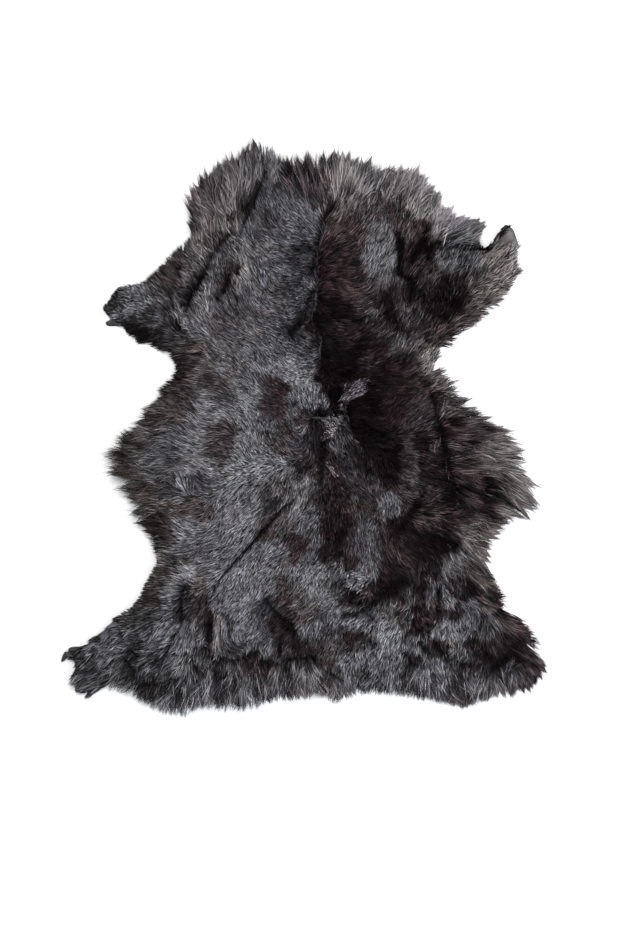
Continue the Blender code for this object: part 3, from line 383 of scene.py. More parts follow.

# Grooves, where the wool parts or the skin folds in, with painted shade along them: x, y at each end, half-width,
# and depth (0 to 1).
GROOVES = [
    (333, 205, 321, 222, 3.5, 0.75), (321, 222, 317, 246, 2, 0.60), (315, 254, 311, 276, 3, 0.95),
    (312, 292, 304, 316, 2.6, 0.80), (304, 316, 292, 332, 6.5, 1.00), (292, 334, 304, 338, 2.5, 0.50),
    (267, 172, 257, 192, 3.2, 0.80), (231, 234, 222, 242, 3.5, 0.95), (206, 268, 196, 290, 4.6, 1.00),
    (238, 268, 238, 275, 3, 0.95), (229, 276, 224, 293, 3.5, 0.75), (178, 322, 180, 330, 3, 0.80),
    (160, 352, 204, 355, 1.8, 0.55), (303, 488, 290, 503, 1.2, 0.60), (278, 513, 262, 532, 2.3, 1.00),
    (262, 532, 250, 546, 1.9, 0.95), (250, 546, 236, 561, 1.8, 0.85), (236, 561, 224, 574, 1.6, 0.60),
    (224, 574, 218, 584, 1.4, 0.60), (432, 397, 438, 420, 3.0, 0.92), (438, 420, 443, 446, 2.9, 0.95),
    (443, 446, 450, 476, 2.4, 0.85), (448, 480, 456, 500, 5.5, 0.75), (437, 244, 456, 249, 2.5, 0.80),
    (456, 249, 474, 250, 2.2, 0.80), (473, 249, 490, 249, 2.6, 0.90), (423, 240, 411, 262, 4.0, 0.75),
    (423, 240, 432, 260, 4.5, 0.85), (400, 275, 412, 281, 4.0, 0.90), (412, 281, 410, 300, 5.5, 0.85),
    (442, 300, 458, 307, 6, 0.75), (316, 414, 336, 408, 3.5, 0.85), (324, 438, 321, 474, 4.2, 0.85),
    (348, 404, 347, 414, 3, 0.95), (266, 598, 274, 610, 3, 0.60), (286, 622, 294, 634, 5.5, 0.95),
    (288, 660, 314, 657, 4.5, 0.95), (280, 640, 281, 653, 3.2, 0.85), (356, 613, 372, 608, 3.5, 0.88),
    (380, 596, 402, 582, 7, 0.95), (400, 530, 417, 502, 5, 0.90), (418, 502, 421, 462, 2.6, 0.55),
    (488, 480, 490, 500, 5.5, 0.65), (462, 664, 470, 664, 4, 0.90), (494, 668, 506, 658, 5.5, 0.95),
    (514, 654, 522, 662, 4.5, 0.85), (138, 684, 157, 684, 3.4, 0.90), (124, 660, 134, 670, 3.5, 0.85),
    (420, 642, 430, 655, 3.5, 0.80), (408, 633, 424, 635, 2.2, 0.85), (262, 660, 288, 668, 4, 0.80),
    (220, 656, 232, 662, 2.5, 0.85), (212, 612, 210, 640, 3.4, 0.85), (184, 586, 181, 600, 3.2, 0.85),
    (345, 615, 356, 613, 3.5, 0.88), (430, 226, 424, 234, 3.0, 0.75), (396, 236, 398, 276, 3.0, 0.60),
    (432, 540, 456, 548, 6, 0.75), (404, 652, 416, 668, 3, 0.60), (372, 318, 352, 322, 3.0, 0.55),
    (257, 192, 247, 216, 5.2, 0.80), (247, 216, 242, 232, 2.5, 0.60), (294, 176, 300, 194, 3, 0.40),
    (219, 244, 216, 251, 3, 0.90), (196, 290, 188, 304, 3, 0.75), (212, 256, 208, 264, 3.5, 0.60),
    (236, 298, 236, 301, 1.8, 0.70), (217, 298, 219, 302, 2.2, 0.80), (275, 246, 290, 247, 1.2, 0.40),
    (294, 249, 300, 250, 2, 0.70), (300, 251, 310, 252, 1.2, 0.45), (309, 246, 317, 256, 2.2, 0.80),
    (286, 330, 300, 334, 1.5, 0.50), (292, 336, 294, 340, 2, 0.80), (290, 503, 278, 513, 1.6, 0.90),
    (278, 500, 262, 520, 6, 0.30), (218, 584, 211, 598, 1.4, 0.55), (272, 608, 286, 622, 4.5, 0.95),
    (293, 634, 298, 648, 5, 0.70), (245, 656, 257, 651, 3.5, 0.85), (370, 606, 380, 596, 5, 0.90),
    (426, 634, 434, 622, 2.5, 0.70), (433, 640, 442, 654, 2.5, 0.75), (442, 654, 449, 644, 2, 0.70),
    (475, 663, 481, 664, 2.5, 0.70), (506, 658, 512, 646, 4.5, 0.80), (528, 664, 534, 666, 3, 0.60),
    (494, 612, 506, 606, 4, 0.55), (482, 620, 480, 626, 2.5, 0.70), (484, 655, 494, 664, 4, 0.60),
    (495, 499, 500, 502, 3, 0.70), (456, 492, 462, 508, 5, 0.60), (146, 694, 154, 700, 3.5, 0.60),
    (176, 676, 178, 700, 1.5, 0.60), (131, 650, 137, 656, 3, 0.75), (118, 626, 124, 640, 1.8, 0.50),
    (206, 600, 210, 612, 2.4, 0.50), (174, 566, 190, 588, 1.3, 0.70), (182, 600, 181, 622, 3, 0.60),
    (223, 612, 234, 621, 1.6, 0.70), (229, 620, 230, 640, 1.2, 0.50), (196, 596, 200, 604, 1.8, 0.50),
    (178, 628, 160, 668, 1.4, 0.60), (188, 650, 206, 656, 2.5, 0.40), (216, 670, 215, 702, 3, 0.70),
    (226, 680, 222, 700, 2, 0.50), (237, 676, 234, 698, 1.5, 0.60), (253, 672, 256, 690, 1.5, 0.55),
    (290, 668, 291, 690, 2, 0.65), (331, 672, 342, 680, 2, 0.60), (345, 416, 351, 428, 2.2, 0.90),
    (372, 400, 374, 415, 2.5, 0.60), (374, 432, 386, 437, 3, 0.70), (186, 250, 200, 262, 1.4, 0.40),
    (428, 535, 436, 538, 3, 0.60), (371, 638, 373, 654, 1.6, 0.60), (436, 586, 440, 600, 3, 0.60),
    (424, 586, 424, 604, 2.2, 0.60), (440, 574, 446, 588, 2.2, 0.50), (398, 236, 400, 262, 2.6, 0.55),
]

# Pale tufts and scars that stand up from the wool: x, y at each end, half-width, lightness, warmth, direction, lift.
TUFTS = [
    (344, 399, 362, 389, 4.5, 0.80, 0.20, 40, 50), (345, 388, 366, 380, 3.0, 0.62, 0.20, 30, 50),
    (342, 409, 346, 400, 3, 0.84, 0.25, 60, 52), (341, 404, 348, 424, 1.8, 0.70, 0.25, 300, 50),
    (322, 436, 335, 432, 3.6, 0.82, 0.25, 150, 54), (326, 424, 338, 418, 5.0, 0.60, 0.15, 130, 54),
    (327, 462, 335, 475, 2.6, 0.80, 0.30, 300, 50), (339, 436, 342, 456, 2.5, 0.55, 0.15, 280, 50),
    (366, 321, 375, 313, 2.6, 0.72, 0.35, 50, 50), (432, 452, 438, 442, 2.4, 0.58, 0.25, 70, 48),
    (439, 419, 445, 405, 3.0, 0.55, 0.70, 60, 36), (445, 460, 449, 474, 1.2, 0.62, 0.50, 290, 48),
    (486, 470, 500, 464, 1.6, 0.66, 0.60, 20, 40), (425, 372, 436, 352, 5, 0.72, 0.80, 60, 40),
    (205, 644, 218, 651, 1.8, 0.72, 0.15, 320, 34), (218, 651, 234, 658, 1.6, 0.62, 0.15, 330, 34),
    (500, 676, 512, 664, 1.6, 0.62, 0.20, 60, 40), (178, 562, 190, 577, 1.6, 0.66, 0.20, 300, 40),
    (353, 572, 366, 576, 3.0, 0.80, 0.30, 180, 54), (334, 562, 344, 572, 2.4, 0.74, 0.25, 230, 54),
    (350, 586, 362, 590, 2.4, 0.76, 0.25, 220, 54), (343, 176, 341, 200, 2, 0.66, 0.50, 82, 40),
    (233, 190, 236, 210, 2.4, 0.64, 0.60, 96, 40), (436, 620, 432, 640, 2, 0.62, 0.20, 252, 42),
]

# Where the leather is bare: x, y, radius.
BARE = [
    (108, 323, 6), (116, 324, 4), (63, 660, 4), (67, 655, 4), (72, 650, 4), (78, 647, 3),
    (507, 240, 8), (501, 245, 5), (513, 244, 6), (511, 234, 6), (504, 234, 5),
]


def chart(x, y):
    """A place on the chart, in millimetres from the skin's middle."""
    return np.array([(x - MIDDLE[0]) * SQUARE, (MIDDLE[1] - y) * SQUARE])


# ---------------------------------------------------------------------------------------------------------------
# Fields over the skin
# ---------------------------------------------------------------------------------------------------------------

CELL = 3.0  # the fields' grid, in millimetres
LOW = np.array([-480.0, -560.0])
COUNT = (321, 374)


def sample(field, points):
    """A grid field read between its corners."""
    at = (points - LOW) / CELL
    i = np.clip(at.astype(int), 0, np.array(field.shape[:2]) - 2)
    f = np.clip(at - i, 0, 1)
    a, b = field[i[:, 0], i[:, 1]], field[i[:, 0] + 1, i[:, 1]]
    c, d = field[i[:, 0], i[:, 1] + 1], field[i[:, 0] + 1, i[:, 1] + 1]
    fx, fy = f[:, 0], f[:, 1]
    if field.ndim == 3:
        fx, fy = fx[:, None], fy[:, None]
    return (a * (1 - fx) + b * fx) * (1 - fy) + (c * (1 - fx) + d * fx) * fy


def grid_points():
    x = LOW[0] + CELL * np.arange(COUNT[0])
    y = LOW[1] + CELL * np.arange(COUNT[1])
    return np.stack(np.meshgrid(x, y, indexing="ij"), axis=-1).reshape(-1, 2)


def segment_distance(points, a, b):
    """(how far each point is from the segment, which side of it, how far along it)"""
    d = b - a
    t = np.clip(((points - a) @ d) / max(d @ d, 1e-9), 0, 1)
    away = points - a - t[:, None] * d
    side = d[0] * (points[:, 1] - a[1]) - d[1] * (points[:, 0] - a[0])
    return np.hypot(away[:, 0], away[:, 1]), np.sign(side), t


def smooth_outline(step=5.0):
    """The outline as a smooth closed curve in millimetres, with the leather's inset beside each point."""
    p = np.array([[*chart(x, y), inset * SQUARE] for x, y, inset in OUTLINE])
    curve, n = [], len(p)
    for i in range(n):
        before, start, end, after = (p[(i + k) % n] for k in (-1, 0, 1, 2))
        parts = max(1, math.ceil(np.linalg.norm(end[:2] - start[:2]) / step))
        for k in range(parts):
            t = k / parts
            curve.append(
                0.5
                * (
                    2 * start
                    + (end - before) * t
                    + (2 * before - 5 * start + 4 * end - after) * t * t
                    + (3 * start - before - 3 * end + after) * t**3
                )
            )
    return np.array(curve)


def signed_distance(points, curve):
    """How far inside the closed curve each point is (negative outside), and the inset of the curve's nearest part."""
    best, inset = np.full(len(points), np.inf), np.zeros(len(points))
    odd = np.zeros(len(points), bool)
    x, y = points.T
    for a, b in zip(curve, np.roll(curve, -1, axis=0)):
        away, _, t = segment_distance(points, a[:2], b[:2])
        closer = away < best
        best[closer] = away[closer]
        inset[closer] = (a[2] + (b[2] - a[2]) * t)[closer]
        if a[1] != b[1]:
            crosses = (a[1] > y) != (b[1] > y)
            odd ^= crosses & (x < (b[0] - a[0]) * (y - a[1]) / (b[1] - a[1]) + a[0])
    return np.where(odd, best, -best), inset


def blurred(field, times):
    for _ in range(times):
        field = (
            field
            + np.roll(field, 1, 0)
            + np.roll(field, -1, 0)
            + np.roll(field, 1, 1)
            + np.roll(field, -1, 1)
        ) / 5
    return field


class Noise:
    """Smooth seeded noise from -1 to 1."""

    def __init__(self, pitch, seed):
        size = (int(1000 / pitch) + 4, int(1160 / pitch) + 4)
        self.pitch = pitch
        self.table = np.random.default_rng(seed).random(size) * 2 - 1

    def at(self, points):
        at = (points - LOW) / self.pitch + 1
        i = np.clip(at.astype(int), 0, np.array(self.table.shape) - 2)
        f = np.clip(at - i, 0, 1)
        f = f * f * (3 - 2 * f)
        t, (ix, iy) = self.table, i.T
        return (t[ix, iy] * (1 - f[:, 0]) + t[ix + 1, iy] * f[:, 0]) * (1 - f[:, 1]) + (
            t[ix, iy + 1] * (1 - f[:, 0]) + t[ix + 1, iy + 1] * f[:, 0]
        ) * f[:, 1]


class Locks:
    """Centres of locks on a shaken grid, with some random numbers for each."""

    def __init__(self, pitch, seed):
        rng = np.random.default_rng(seed)
        self.pitch = pitch
        self.size = (int(1000 / pitch) + 4, int(1160 / pitch) + 4)
        i = np.stack(
            np.meshgrid(np.arange(self.size[0]), np.arange(self.size[1]), indexing="ij"),
            axis=-1,
        )
        self.centres = (LOW + (i + rng.random((*self.size, 2)) - 0.5) * pitch).reshape(
            -1, 2
        )
        self.random = rng.random((self.size[0] * self.size[1], 6)) * 2 - 1

    def nearest(self, points):
        """The index of the lock each point belongs to."""
        cell = np.rint((points - LOW) / self.pitch).astype(int)
        best = np.full(len(points), np.inf)
        found = np.zeros(len(points), int)
        for dx in (-1, 0, 1):
            for dy in (-1, 0, 1):
                ix = np.clip(cell[:, 0] + dx, 0, self.size[0] - 1)
                iy = np.clip(cell[:, 1] + dy, 0, self.size[1] - 1)
                k = ix * self.size[1] + iy
                away = ((points - self.centres[k]) ** 2).sum(axis=1)
                closer = away < best
                best[closer], found[closer] = away[closer], k[closer]
        return found


def blend_rows(points, rows, spread):
    """Rows of (x, y, reach x, reach y, values...) blended at each point by how near they are."""
    total = np.zeros((len(points), len(rows[0]) - 4))
    weight = np.zeros(len(points))
    for x, y, rx, ry, *values in rows:
        c = chart(x, y)
        d = (points - c) / (np.array([rx, ry]) * SQUARE * spread)
        far = (d**2).sum(axis=1)
        w = np.exp(-np.minimum(far, 60)) + 1e-4 / (1 + far) ** 2
        total += w[:, None] * np.array(values)
        weight += w
    return total / weight[:, None]


outline = smooth_outline()
cells = grid_points()
reach_flat, inset_flat = signed_distance(cells, outline)
REACH = reach_flat.reshape(COUNT)
INSET = blurred(inset_flat.reshape(COUNT), 3)
SKIN = REACH - INSET  # how far inside the leather's edge
OUTWARD = -np.stack(np.gradient(REACH, CELL), axis=-1)

nap_rows = [
    (x, y, r, r, math.cos(math.radians(a)), math.sin(math.radians(a)), length, root, tip, gather)
    for x, y, r, a, length, root, tip, gather in NAP
]
NAP_FIELD = blend_rows(cells, nap_rows, 1.15).reshape(*COUNT, 6)
TONE_FIELD = blend_rows(cells, TONES, 0.95).reshape(*COUNT, 2)


# ---------------------------------------------------------------------------------------------------------------
# The wool
# ---------------------------------------------------------------------------------------------------------------

swirl_wide, swirl_fine = Noise(42, 11), Noise(15, 12)
swell, patch, speck = Noise(30, 13), Noise(22, 14), Noise(7, 15)
short_locks, long_locks, fine_locks = Locks(8.5, 21), Locks(15, 22), Locks(2.2, 23)
edge_locks, wide_locks = Locks(10, 24), Locks(26, 25)

# The cool grey is painted sheen: cool light glancing off the nap, painted over the wool's own brown.
PAINTED_COOL_SHEEN = np.array([0.432, 0.438, 0.486])
PALE_WARM = np.array([0.505, 0.410, 0.362])
OLIVE = np.array([0.478, 0.416, 0.346])  # along the left edge
DEEP_WARM = np.array([0.625, 0.342, 0.390])
DARKEST = np.array([0.0016, 0.0008, 0.0010])
TONE_POWER, TONE_GAIN = 2.8, 1.43


# Where the skin lies in soft folds: x, y, reach along x, reach along y, and how far it rises in millimetres.
LOBES = [
    (285, 366, 28, 16, 7), (298, 292, 13, 26, 7), (250, 300, 30, 40, 3), (246, 222, 18, 30, 5), (206, 300, 7, 26, 6),
    (240, 284, 6, 18, 5), (182, 368, 18, 12, 4), (202, 402, 22, 28, 4), (158, 456, 30, 22, 6), (185, 490, 12, 18, 5),
    (240, 520, 26, 28, 5), (250, 598, 28, 34, 7), (310, 575, 18, 18, 6), (310, 628, 16, 12, 5), (355, 580, 14, 10, 6),
    (338, 642, 14, 9, 5), (390, 630, 26, 24, 6), (445, 624, 14, 18, 7), (490, 610, 22, 26, 5), (520, 658, 16, 16, 5),
    (406, 450, 8, 42, 6), (404, 484, 9, 28, 5), (440, 420, 5, 22, 3), (482, 450, 32, 34, 6), (480, 522, 24, 16, 5),
    (435, 505, 10, 14, 4), (350, 258, 24, 28, 4), (378, 240, 10, 28, 4), (345, 304, 24, 20, 4), (420, 226, 22, 14, 4),
    (458, 234, 22, 9, 5), (482, 276, 26, 18, 7), (456, 322, 20, 9, 4), (425, 332, 12, 16, 4), (390, 380, 18, 20, 4),
    (352, 394, 10, 8, 5), (330, 426, 9, 10, 4), (300, 480, 22, 18, 3), (165, 640, 26, 20, 5), (105, 655, 22, 14, 4),
    (140, 300, 20, 14, 4),
]
# Where the leather curls up from the ground at a bare end: x, y, radius, and rise in millimetres.
CURLS = [(505, 232, 9, 12), (104, 322, 6, 4), (64, 655, 6, 4), (486, 225, 8, 3), (104, 306, 6, 3)]


def groove_at(points, widen=1.0):
    """The grooves read exactly and not from the grid, because some are finer than it."""
    deep = np.zeros(len(points))
    for x0, y0, x1, y1, half, depth in GROOVES:
        a, b, wide = chart(x0, y0), chart(x1, y1), half * SQUARE * widen
        low, high = np.minimum(a, b) - 2.6 * wide, np.maximum(a, b) + 2.6 * wide
        near = np.nonzero(((points > low) & (points < high)).all(axis=1))[0]
        away, _, _ = segment_distance(points[near], a, b)
        deep[near] = np.maximum(deep[near], depth * np.exp(-((away / wide) ** 2)))
    return deep


relief = np.zeros(len(cells))
for x, y, rx, ry, rise in LOBES:
    d = (cells - chart(x, y)) / (np.array([rx, ry]) * SQUARE)
    relief += rise * np.exp(-(d**2).sum(axis=1))
relief = (relief + 1.6 + 1.2 * swell.at(cells)) * (1 - 0.8 * groove_at(cells, 1.6))
relief *= np.clip(sample(SKIN, cells) / 34, 0, 1) ** 0.8
curl = np.clip(1 - sample(SKIN, cells) / 14, 0, 1) ** 2
relief += 1.8 * curl * (0.5 + 0.5 * swell.at(cells))
for x, y, radius, rise in CURLS:
    away = np.linalg.norm(cells - chart(x, y), axis=1) / (radius * SQUARE)
    relief += rise * np.exp(-(away**2))
RELIEF = np.clip(relief, 0, 14).reshape(COUNT)


def leather_height(points):
    """The height of the leather's upper side above the ground."""
    return LEATHER + sample(RELIEF, points)


def shaken_grid(pitch, seed):
    rng = np.random.default_rng(seed)
    x = np.arange(-440, 440, pitch)
    y = np.arange(-515, 515, pitch)
    points = np.stack(np.meshgrid(x, y, indexing="ij"), axis=-1).reshape(-1, 2)
    return points + (rng.random(points.shape) - 0.5) * pitch * 1.1


# How far along a strand its levels are, and how light it is there: painted shade, darkest at the root, where the
# strands shade each other.
LEVELS = {2: (0.0, 0.64, 1.0), 3: (0.0, 0.36, 0.72, 1.0)}
SHADE = {2: (0.06, 0.90, 1.05), 3: (0.16, 0.66, 1.0, 0.95)}


def grow(roots, seed, parts, width, stretch=1.0, tone_offset=0.0):
    """Strands from their roots: (points along each, its width, its own random numbers, the colour at each point)."""
    rng = np.random.default_rng(seed)
    n = len(roots)
    nap = sample(NAP_FIELD, roots)
    way = np.arctan2(nap[:, 1], nap[:, 0])
    certain = np.clip(np.hypot(nap[:, 0], nap[:, 1]), 0.15, 1)
    length, root_lift, tip_lift, gather = nap[:, 2], nap[:, 3], nap[:, 4], nap[:, 5]
    fringe = np.clip((length - 30) / 16, 0, 1)
    plush = 1 - fringe
    rump = np.clip((-350 - roots[:, 1]) / 50, 0, 1)

    in_long = rng.random(n) < np.clip((length - 28) / 12, 0, 1) * (1 - 0.8 * rump)
    ks, kl, kf = short_locks.nearest(roots), long_locks.nearest(roots), fine_locks.nearest(roots)
    lock_centre = np.where(in_long[:, None], long_locks.centres[kl], short_locks.centres[ks])
    lock = np.where(in_long[:, None], long_locks.random[kl], short_locks.random[ks])
    lock_size = np.where(in_long, long_locks.pitch, short_locks.pitch) * 0.62
    fine, fine_centre = fine_locks.random[kf], fine_locks.centres[kf]
    own = rng.random((n, 6)) * 2 - 1
    bell = rng.standard_normal((n, 2))
    from_lock = np.minimum(np.linalg.norm(roots - lock_centre, axis=1) / lock_size, 1.3)

    swirl = 0.32 * swirl_wide.at(roots) + 0.28 * swirl_fine.at(roots) * (0.2 + 0.8 * plush)
    way = way + swirl * (0.35 + 0.65 * plush) / (0.55 + 0.45 * certain)
    rough = np.clip((gather - 0.48) / 0.12, 0, 1) * np.clip((0.76 - gather) / 0.08, 0, 1)
    way = way + (0.10 + 0.32 * rough) * lock[:, 0] + (0.07 + 0.22 * rough) * fine[:, 0] + 0.08 * bell[:, 0]
    length = length * stretch * (0.84 + 0.16 * fringe) * (1 + 0.14 * lock[:, 1] + 0.08 * fine[:, 1] + 0.14 * own[:, 1])
    length *= (1 + 0.12 * swell.at(roots) * plush) * (1 - 0.10 * rough * plush)
    middle = roots + (length * np.cos(np.radians(root_lift)) * 0.55)[:, None] * np.stack([np.cos(way), np.sin(way)], axis=1)
    length *= 1 - 0.42 * groove_at(middle)
    level_run = length * np.cos(np.radians(0.5 * (root_lift + tip_lift)))
    left = np.ones(n)
    for part in (1.25, 1.0, 0.75):
        crossed = groove_at(roots + (part * level_run)[:, None] * np.stack([np.cos(way), np.sin(way)], axis=1)) > 0.42
        left = np.where(crossed, min(1.0, part - 0.12), left)
    length *= 1 - (1 - left) * plush
    left = np.ones(n)
    for part in (1.15, 1.0, 0.85, 0.7, 0.55, 0.4, 0.25):  # long wool on the right side stops at a crease too
        crossed = groove_at(roots + (part * level_run)[:, None] * np.stack([np.cos(way), np.sin(way)], axis=1)) > 0.42
        left = np.where(crossed, min(1.0, part - 0.10), left)
    length *= 1 - (1 - left) * fringe * (1 - rump) * (roots[:, 0] > 60)
    lift = 5 * lock[:, 2] + 4 * fine[:, 2] + 6 * own[:, 2] + 8 * plush * swirl_fine.at(roots + 7)
    a0 = np.radians(np.clip(root_lift + lift, 6, 84))
    a1 = np.radians(np.clip(tip_lift + lift * 0.8, -3, 78))
    bend = np.radians(16 * lock[:, 3] + 9 * fine[:, 3] + 12 * own[:, 3]) * (1 + 0.9 * fringe)
    over = (own[:, 5] < -0.60) & (plush > 0.2)  # the top coat, lying flat over the rest of the plush
    length = np.where(over, 1.14 * length, length * (1 - 0.12 * plush))
    a0 = np.where(over, np.radians(26 + 0.5 * lift), a0)
    a1 = np.where(over, np.radians(15 + 0.4 * lift), a1)

    tuft_light, tuft_warm = np.full(n, -1.0), np.zeros(n)
    for x0, y0, x1, y1, half, light, warm, angle, up in TUFTS:
        aim = math.radians(angle)
        shown = roots + (0.42 * length * math.cos(math.radians(up)))[:, None] * np.array([math.cos(aim), math.sin(aim)])
        away, _, _ = segment_distance(shown, chart(x0, y0), chart(x1, y1))
        near = away < half * SQUARE * (0.9 + 0.35 * fine[:, 4])
        way = np.where(near, aim + 0.25 * fine[:, 0] + 0.25 * own[:, 0], way)
        length = np.where(near, 0.7 * length, length)
        a0 = np.where(near, np.radians(up + 10 * own[:, 2]), a0)
        a1 = np.where(near, np.radians(up - 14 + 10 * own[:, 2]), a1)
        tuft_light = np.where(near, light, tuft_light)
        tuft_warm = np.where(near, warm, tuft_warm)

    # The shape of each strand from its root: rising at the root's lift, bending over to the tip's lift.
    # On its way it turns with the nap that it passes over.
    shape = np.zeros((n, parts + 1, 3))
    for k in range(parts):
        t, part = (LEVELS[parts][k] + LEVELS[parts][k + 1]) / 2, LEVELS[parts][k + 1] - LEVELS[parts][k]
        here = sample(NAP_FIELD, roots + shape[:, k, :2])
        turn = np.arctan2(nap[:, 0] * here[:, 1] - nap[:, 1] * here[:, 0], nap[:, 0] * here[:, 0] + nap[:, 1] * here[:, 1])
        angle, up = way + bend * (t - 0.35) + 0.8 * np.where(tuft_light < 0, turn, 0), a0 + (a1 - a0) * t**0.8
        run = np.cos(up) * length * part
        step = np.stack([np.cos(angle) * run, np.sin(angle) * run, np.sin(up) * length * part], axis=1)
        shape[:, k + 1] = shape[:, k] + step

    # Strands gather towards the middle of their fine lock and of their lock as they rise.
    big = gather * (0.25 + 0.68 * fringe) * (1 + 0.25 * rump * fringe)
    small = 0.30 + 0.30 * fringe
    centre = lock_centre - fine_centre

    def gathered(t):
        return roots + (fine_centre - roots) * (small * t**0.9)[:, None] + centre * (big * t**1.1)[:, None]

    # A strand's run is cut to what is left before the outline. A lock's middle reaches furthest, so locks are pointed.
    tip = gathered(np.ones(n))
    flat_run = np.linalg.norm(shape[:, -1, :2], axis=1)
    toward = shape[:, -1, :2] / np.maximum(flat_run, 1e-6)[:, None]
    room, free = np.zeros(n), sample(REACH, tip) > 0
    for _ in range(36):
        room = np.where(free, room + 2.5, room)
        free &= sample(REACH, tip + toward * room[:, None]) > 0
    wispy = np.clip((gather - 0.6) / 0.25, 0, 1)
    ends = tip + toward * room[:, None]
    ke, kw = edge_locks.nearest(ends), wide_locks.nearest(ends)
    aside, far = edge_locks.centres[ke] - ends, wide_locks.centres[kw] - ends
    aside -= toward * (aside * toward).sum(axis=1, keepdims=True)
    far -= toward * (far * toward).sum(axis=1, keepdims=True)
    axis = np.exp(-((np.linalg.norm(aside, axis=1) / (0.30 * edge_locks.pitch)) ** 2))
    wide_off = np.minimum(np.linalg.norm(far, axis=1) / (0.5 * wide_locks.pitch), 1.4)
    point, broader = edge_locks.random[ke], wide_locks.random[kw]
    beyond = 2 - 18 * wispy + (3 + 3 * wispy) * broader[:, 4] - wide_off * (3 + 2 * wispy)
    wisp = axis * (6 + 3 * point[:, 4] + wispy * np.where(point[:, 3] > -0.2, 39 + 11 * point[:, 5], 17 + 9 * point[:, 5]))
    calm = 1 - 0.5 * rump
    beyond += calm * wisp * (1 - 0.76 * rng.random(n) ** 0.8)
    beyond += calm * (2 * lock[:, 4] + 2 * fine[:, 4] + 2 * own[:, 4] - from_lock**1.5 * (4 - 3 * wispy))
    beyond = np.minimum(beyond, 17) - calm * (3 + 6 * wispy) * rng.random(n) ** 2
    sweep = (10 * wispy * point[:, 2])[:, None] * np.stack([-toward[:, 1], toward[:, 0]], axis=1)
    room = room + beyond * (0.25 + 0.75 * fringe)
    scale = np.clip(room / np.maximum(flat_run, 1e-6), 0.12, 1)
    scale *= np.where(scale < 1, 1, 1 - 0.10 * from_lock * fringe)
    shape[:, :, :2] *= scale[:, None, None]
    shape[:, :, 2] *= np.sqrt(scale)[:, None]

    points = np.zeros((n, parts + 1, 3))
    base = leather_height(roots) - 0.4 + np.where(over, 4.0 * plush, 0)
    at_edge = (np.where(scale < 1, 0.35 + 0.20 * wispy, 0) * fringe)[:, None] * aside + sweep
    for k, t in enumerate(LEVELS[parts]):
        points[:, k, :2] = gathered(np.full(n, t)) + shape[:, k, :2] + at_edge * t**1.5
        points[:, k, 2] = base + shape[:, k, 2]
    points[:, :, 2] = np.clip(points[:, :, 2], 0.6, 43.0)

    # The colour: the chart's own where the strand shows, darker by chance, and with painted shade at the root, in
    # grooves, at a lock's side and in near-black strands standing for the gaps between locks.
    spark = np.exp(np.clip((0.60 * bell[:, 1] + 0.42 * fine[:, 5]) * (1 - (0.28 + 0.22 * rump) * fringe), -1.9, 0.70 - 0.10 * fringe))
    # Some strands are painted near-black, as painted shade in the gaps between locks.
    shaded_gap_pick = rng.random(n)
    spark *= np.where(shaded_gap_pick < 0.38, 0.36 - 0.22 * plush, 1.25 - 0.45 * plush)
    spark = np.where(over, np.exp(np.clip(0.46 * bell[:, 1] + 0.14 * fine[:, 5], -1.3, 0.50)) * np.where(shaded_gap_pick < 0.32, 0.22, 1.22), spark)
    olive = np.clip((-180 - roots[:, 0]) / 90, 0, 1)[:, None]
    colours = np.zeros((n, parts + 1, 3))
    warm_shift = 0.12 * lock[:, 2] + 0.12 * own[:, 3]
    # Random tone for each lock and strand, and painted shade at a lock's side (from_lock), where the locks shade each
    # other.
    light_shift = (0.04 + 0.08 * fringe + 0.08 * rump * fringe) * lock[:, 5] + fringe * (0.075 + 0.045 * rump - (0.23 + 0.20 * rump) * from_lock**2)
    light_shift += rough * plush * (0.05 + 0.08 * lock[:, 5] - 0.15 * from_lock**2) + tone_offset + 0.045 * bell[:, 0]
    seen = points[:, 0, :2] + 0.62 * (points[:, -1, :2] - points[:, 0, :2])
    for k in range(parts + 1):
        at = seen + (points[:, max(k, 1), :2] - seen) * fringe[:, None]
        bent = at + 7 * np.stack([swirl_fine.at(at), patch.at(at)], axis=1)
        # Painted shade in the grooves darkens the strand where it shows.
        deep = groove_at(at + 1.5 * bell)
        tone = sample(TONE_FIELD, bent)
        light = tone[:, 0] + light_shift + 0.04 * patch.at(at) + 0.08 * speck.at(at) * (0.5 + tone[:, 0])
        light = np.where(tuft_light >= 0, tuft_light, light) * (1 - 0.75 * deep)
        warm = np.where(tuft_light >= 0, tuft_warm, tone[:, 1] + warm_shift) * (1.10 - 0.60 * tone[:, 0])
        warm = np.clip(warm, 0, 1)[:, None]
        pale = np.clip((tone[:, 0] - 0.28) / 0.24, 0, 1)[:, None]
        brown = (DEEP_WARM * (1 - pale) + PALE_WARM * pale) * (1 - olive) + OLIVE * olive
        # Where the tone is cool, painted sheen takes the place of the wool's brown.
        colour = PAINTED_COOL_SHEEN * (1 - warm) + brown * warm
        strength = TONE_GAIN * np.clip(light, 0.04, 1.1) ** TONE_POWER * spark * SHADE[parts][k]
        # Painted light: the tips of strands at the edge are made lighter, as light shows through the thin tips.
        strength *= 1 + np.where(scale < 1, 0.10, 0) * fringe * (1 - rump) * max(0, 2 * k / parts - 1)
        paint = colour * strength[:, None] + DARKEST
        colours[:, k] = paint / (1 + (paint.max(axis=1, keepdims=True) / 0.42) ** 3) ** (1 / 3)  # no strand is whiter
    broad = np.where(rng.random(n) < 0.5, 1 + 1.0 * plush, 1 + 0.1 * plush - 0.15 * wispy)
    broad = np.where(over, 0.92, broad) * (1 - 0.47 * np.clip((beyond - 2) / 8, 0, 1) * np.where(scale < 1, wispy, 0))
    return points, width * broad * (0.8 + 0.4 * rng.random(n)), own, colours


TAPER = {2: (0.7, 1.0, 0.0), 3: (0.9, 1.0, 0.62, 0.0)}


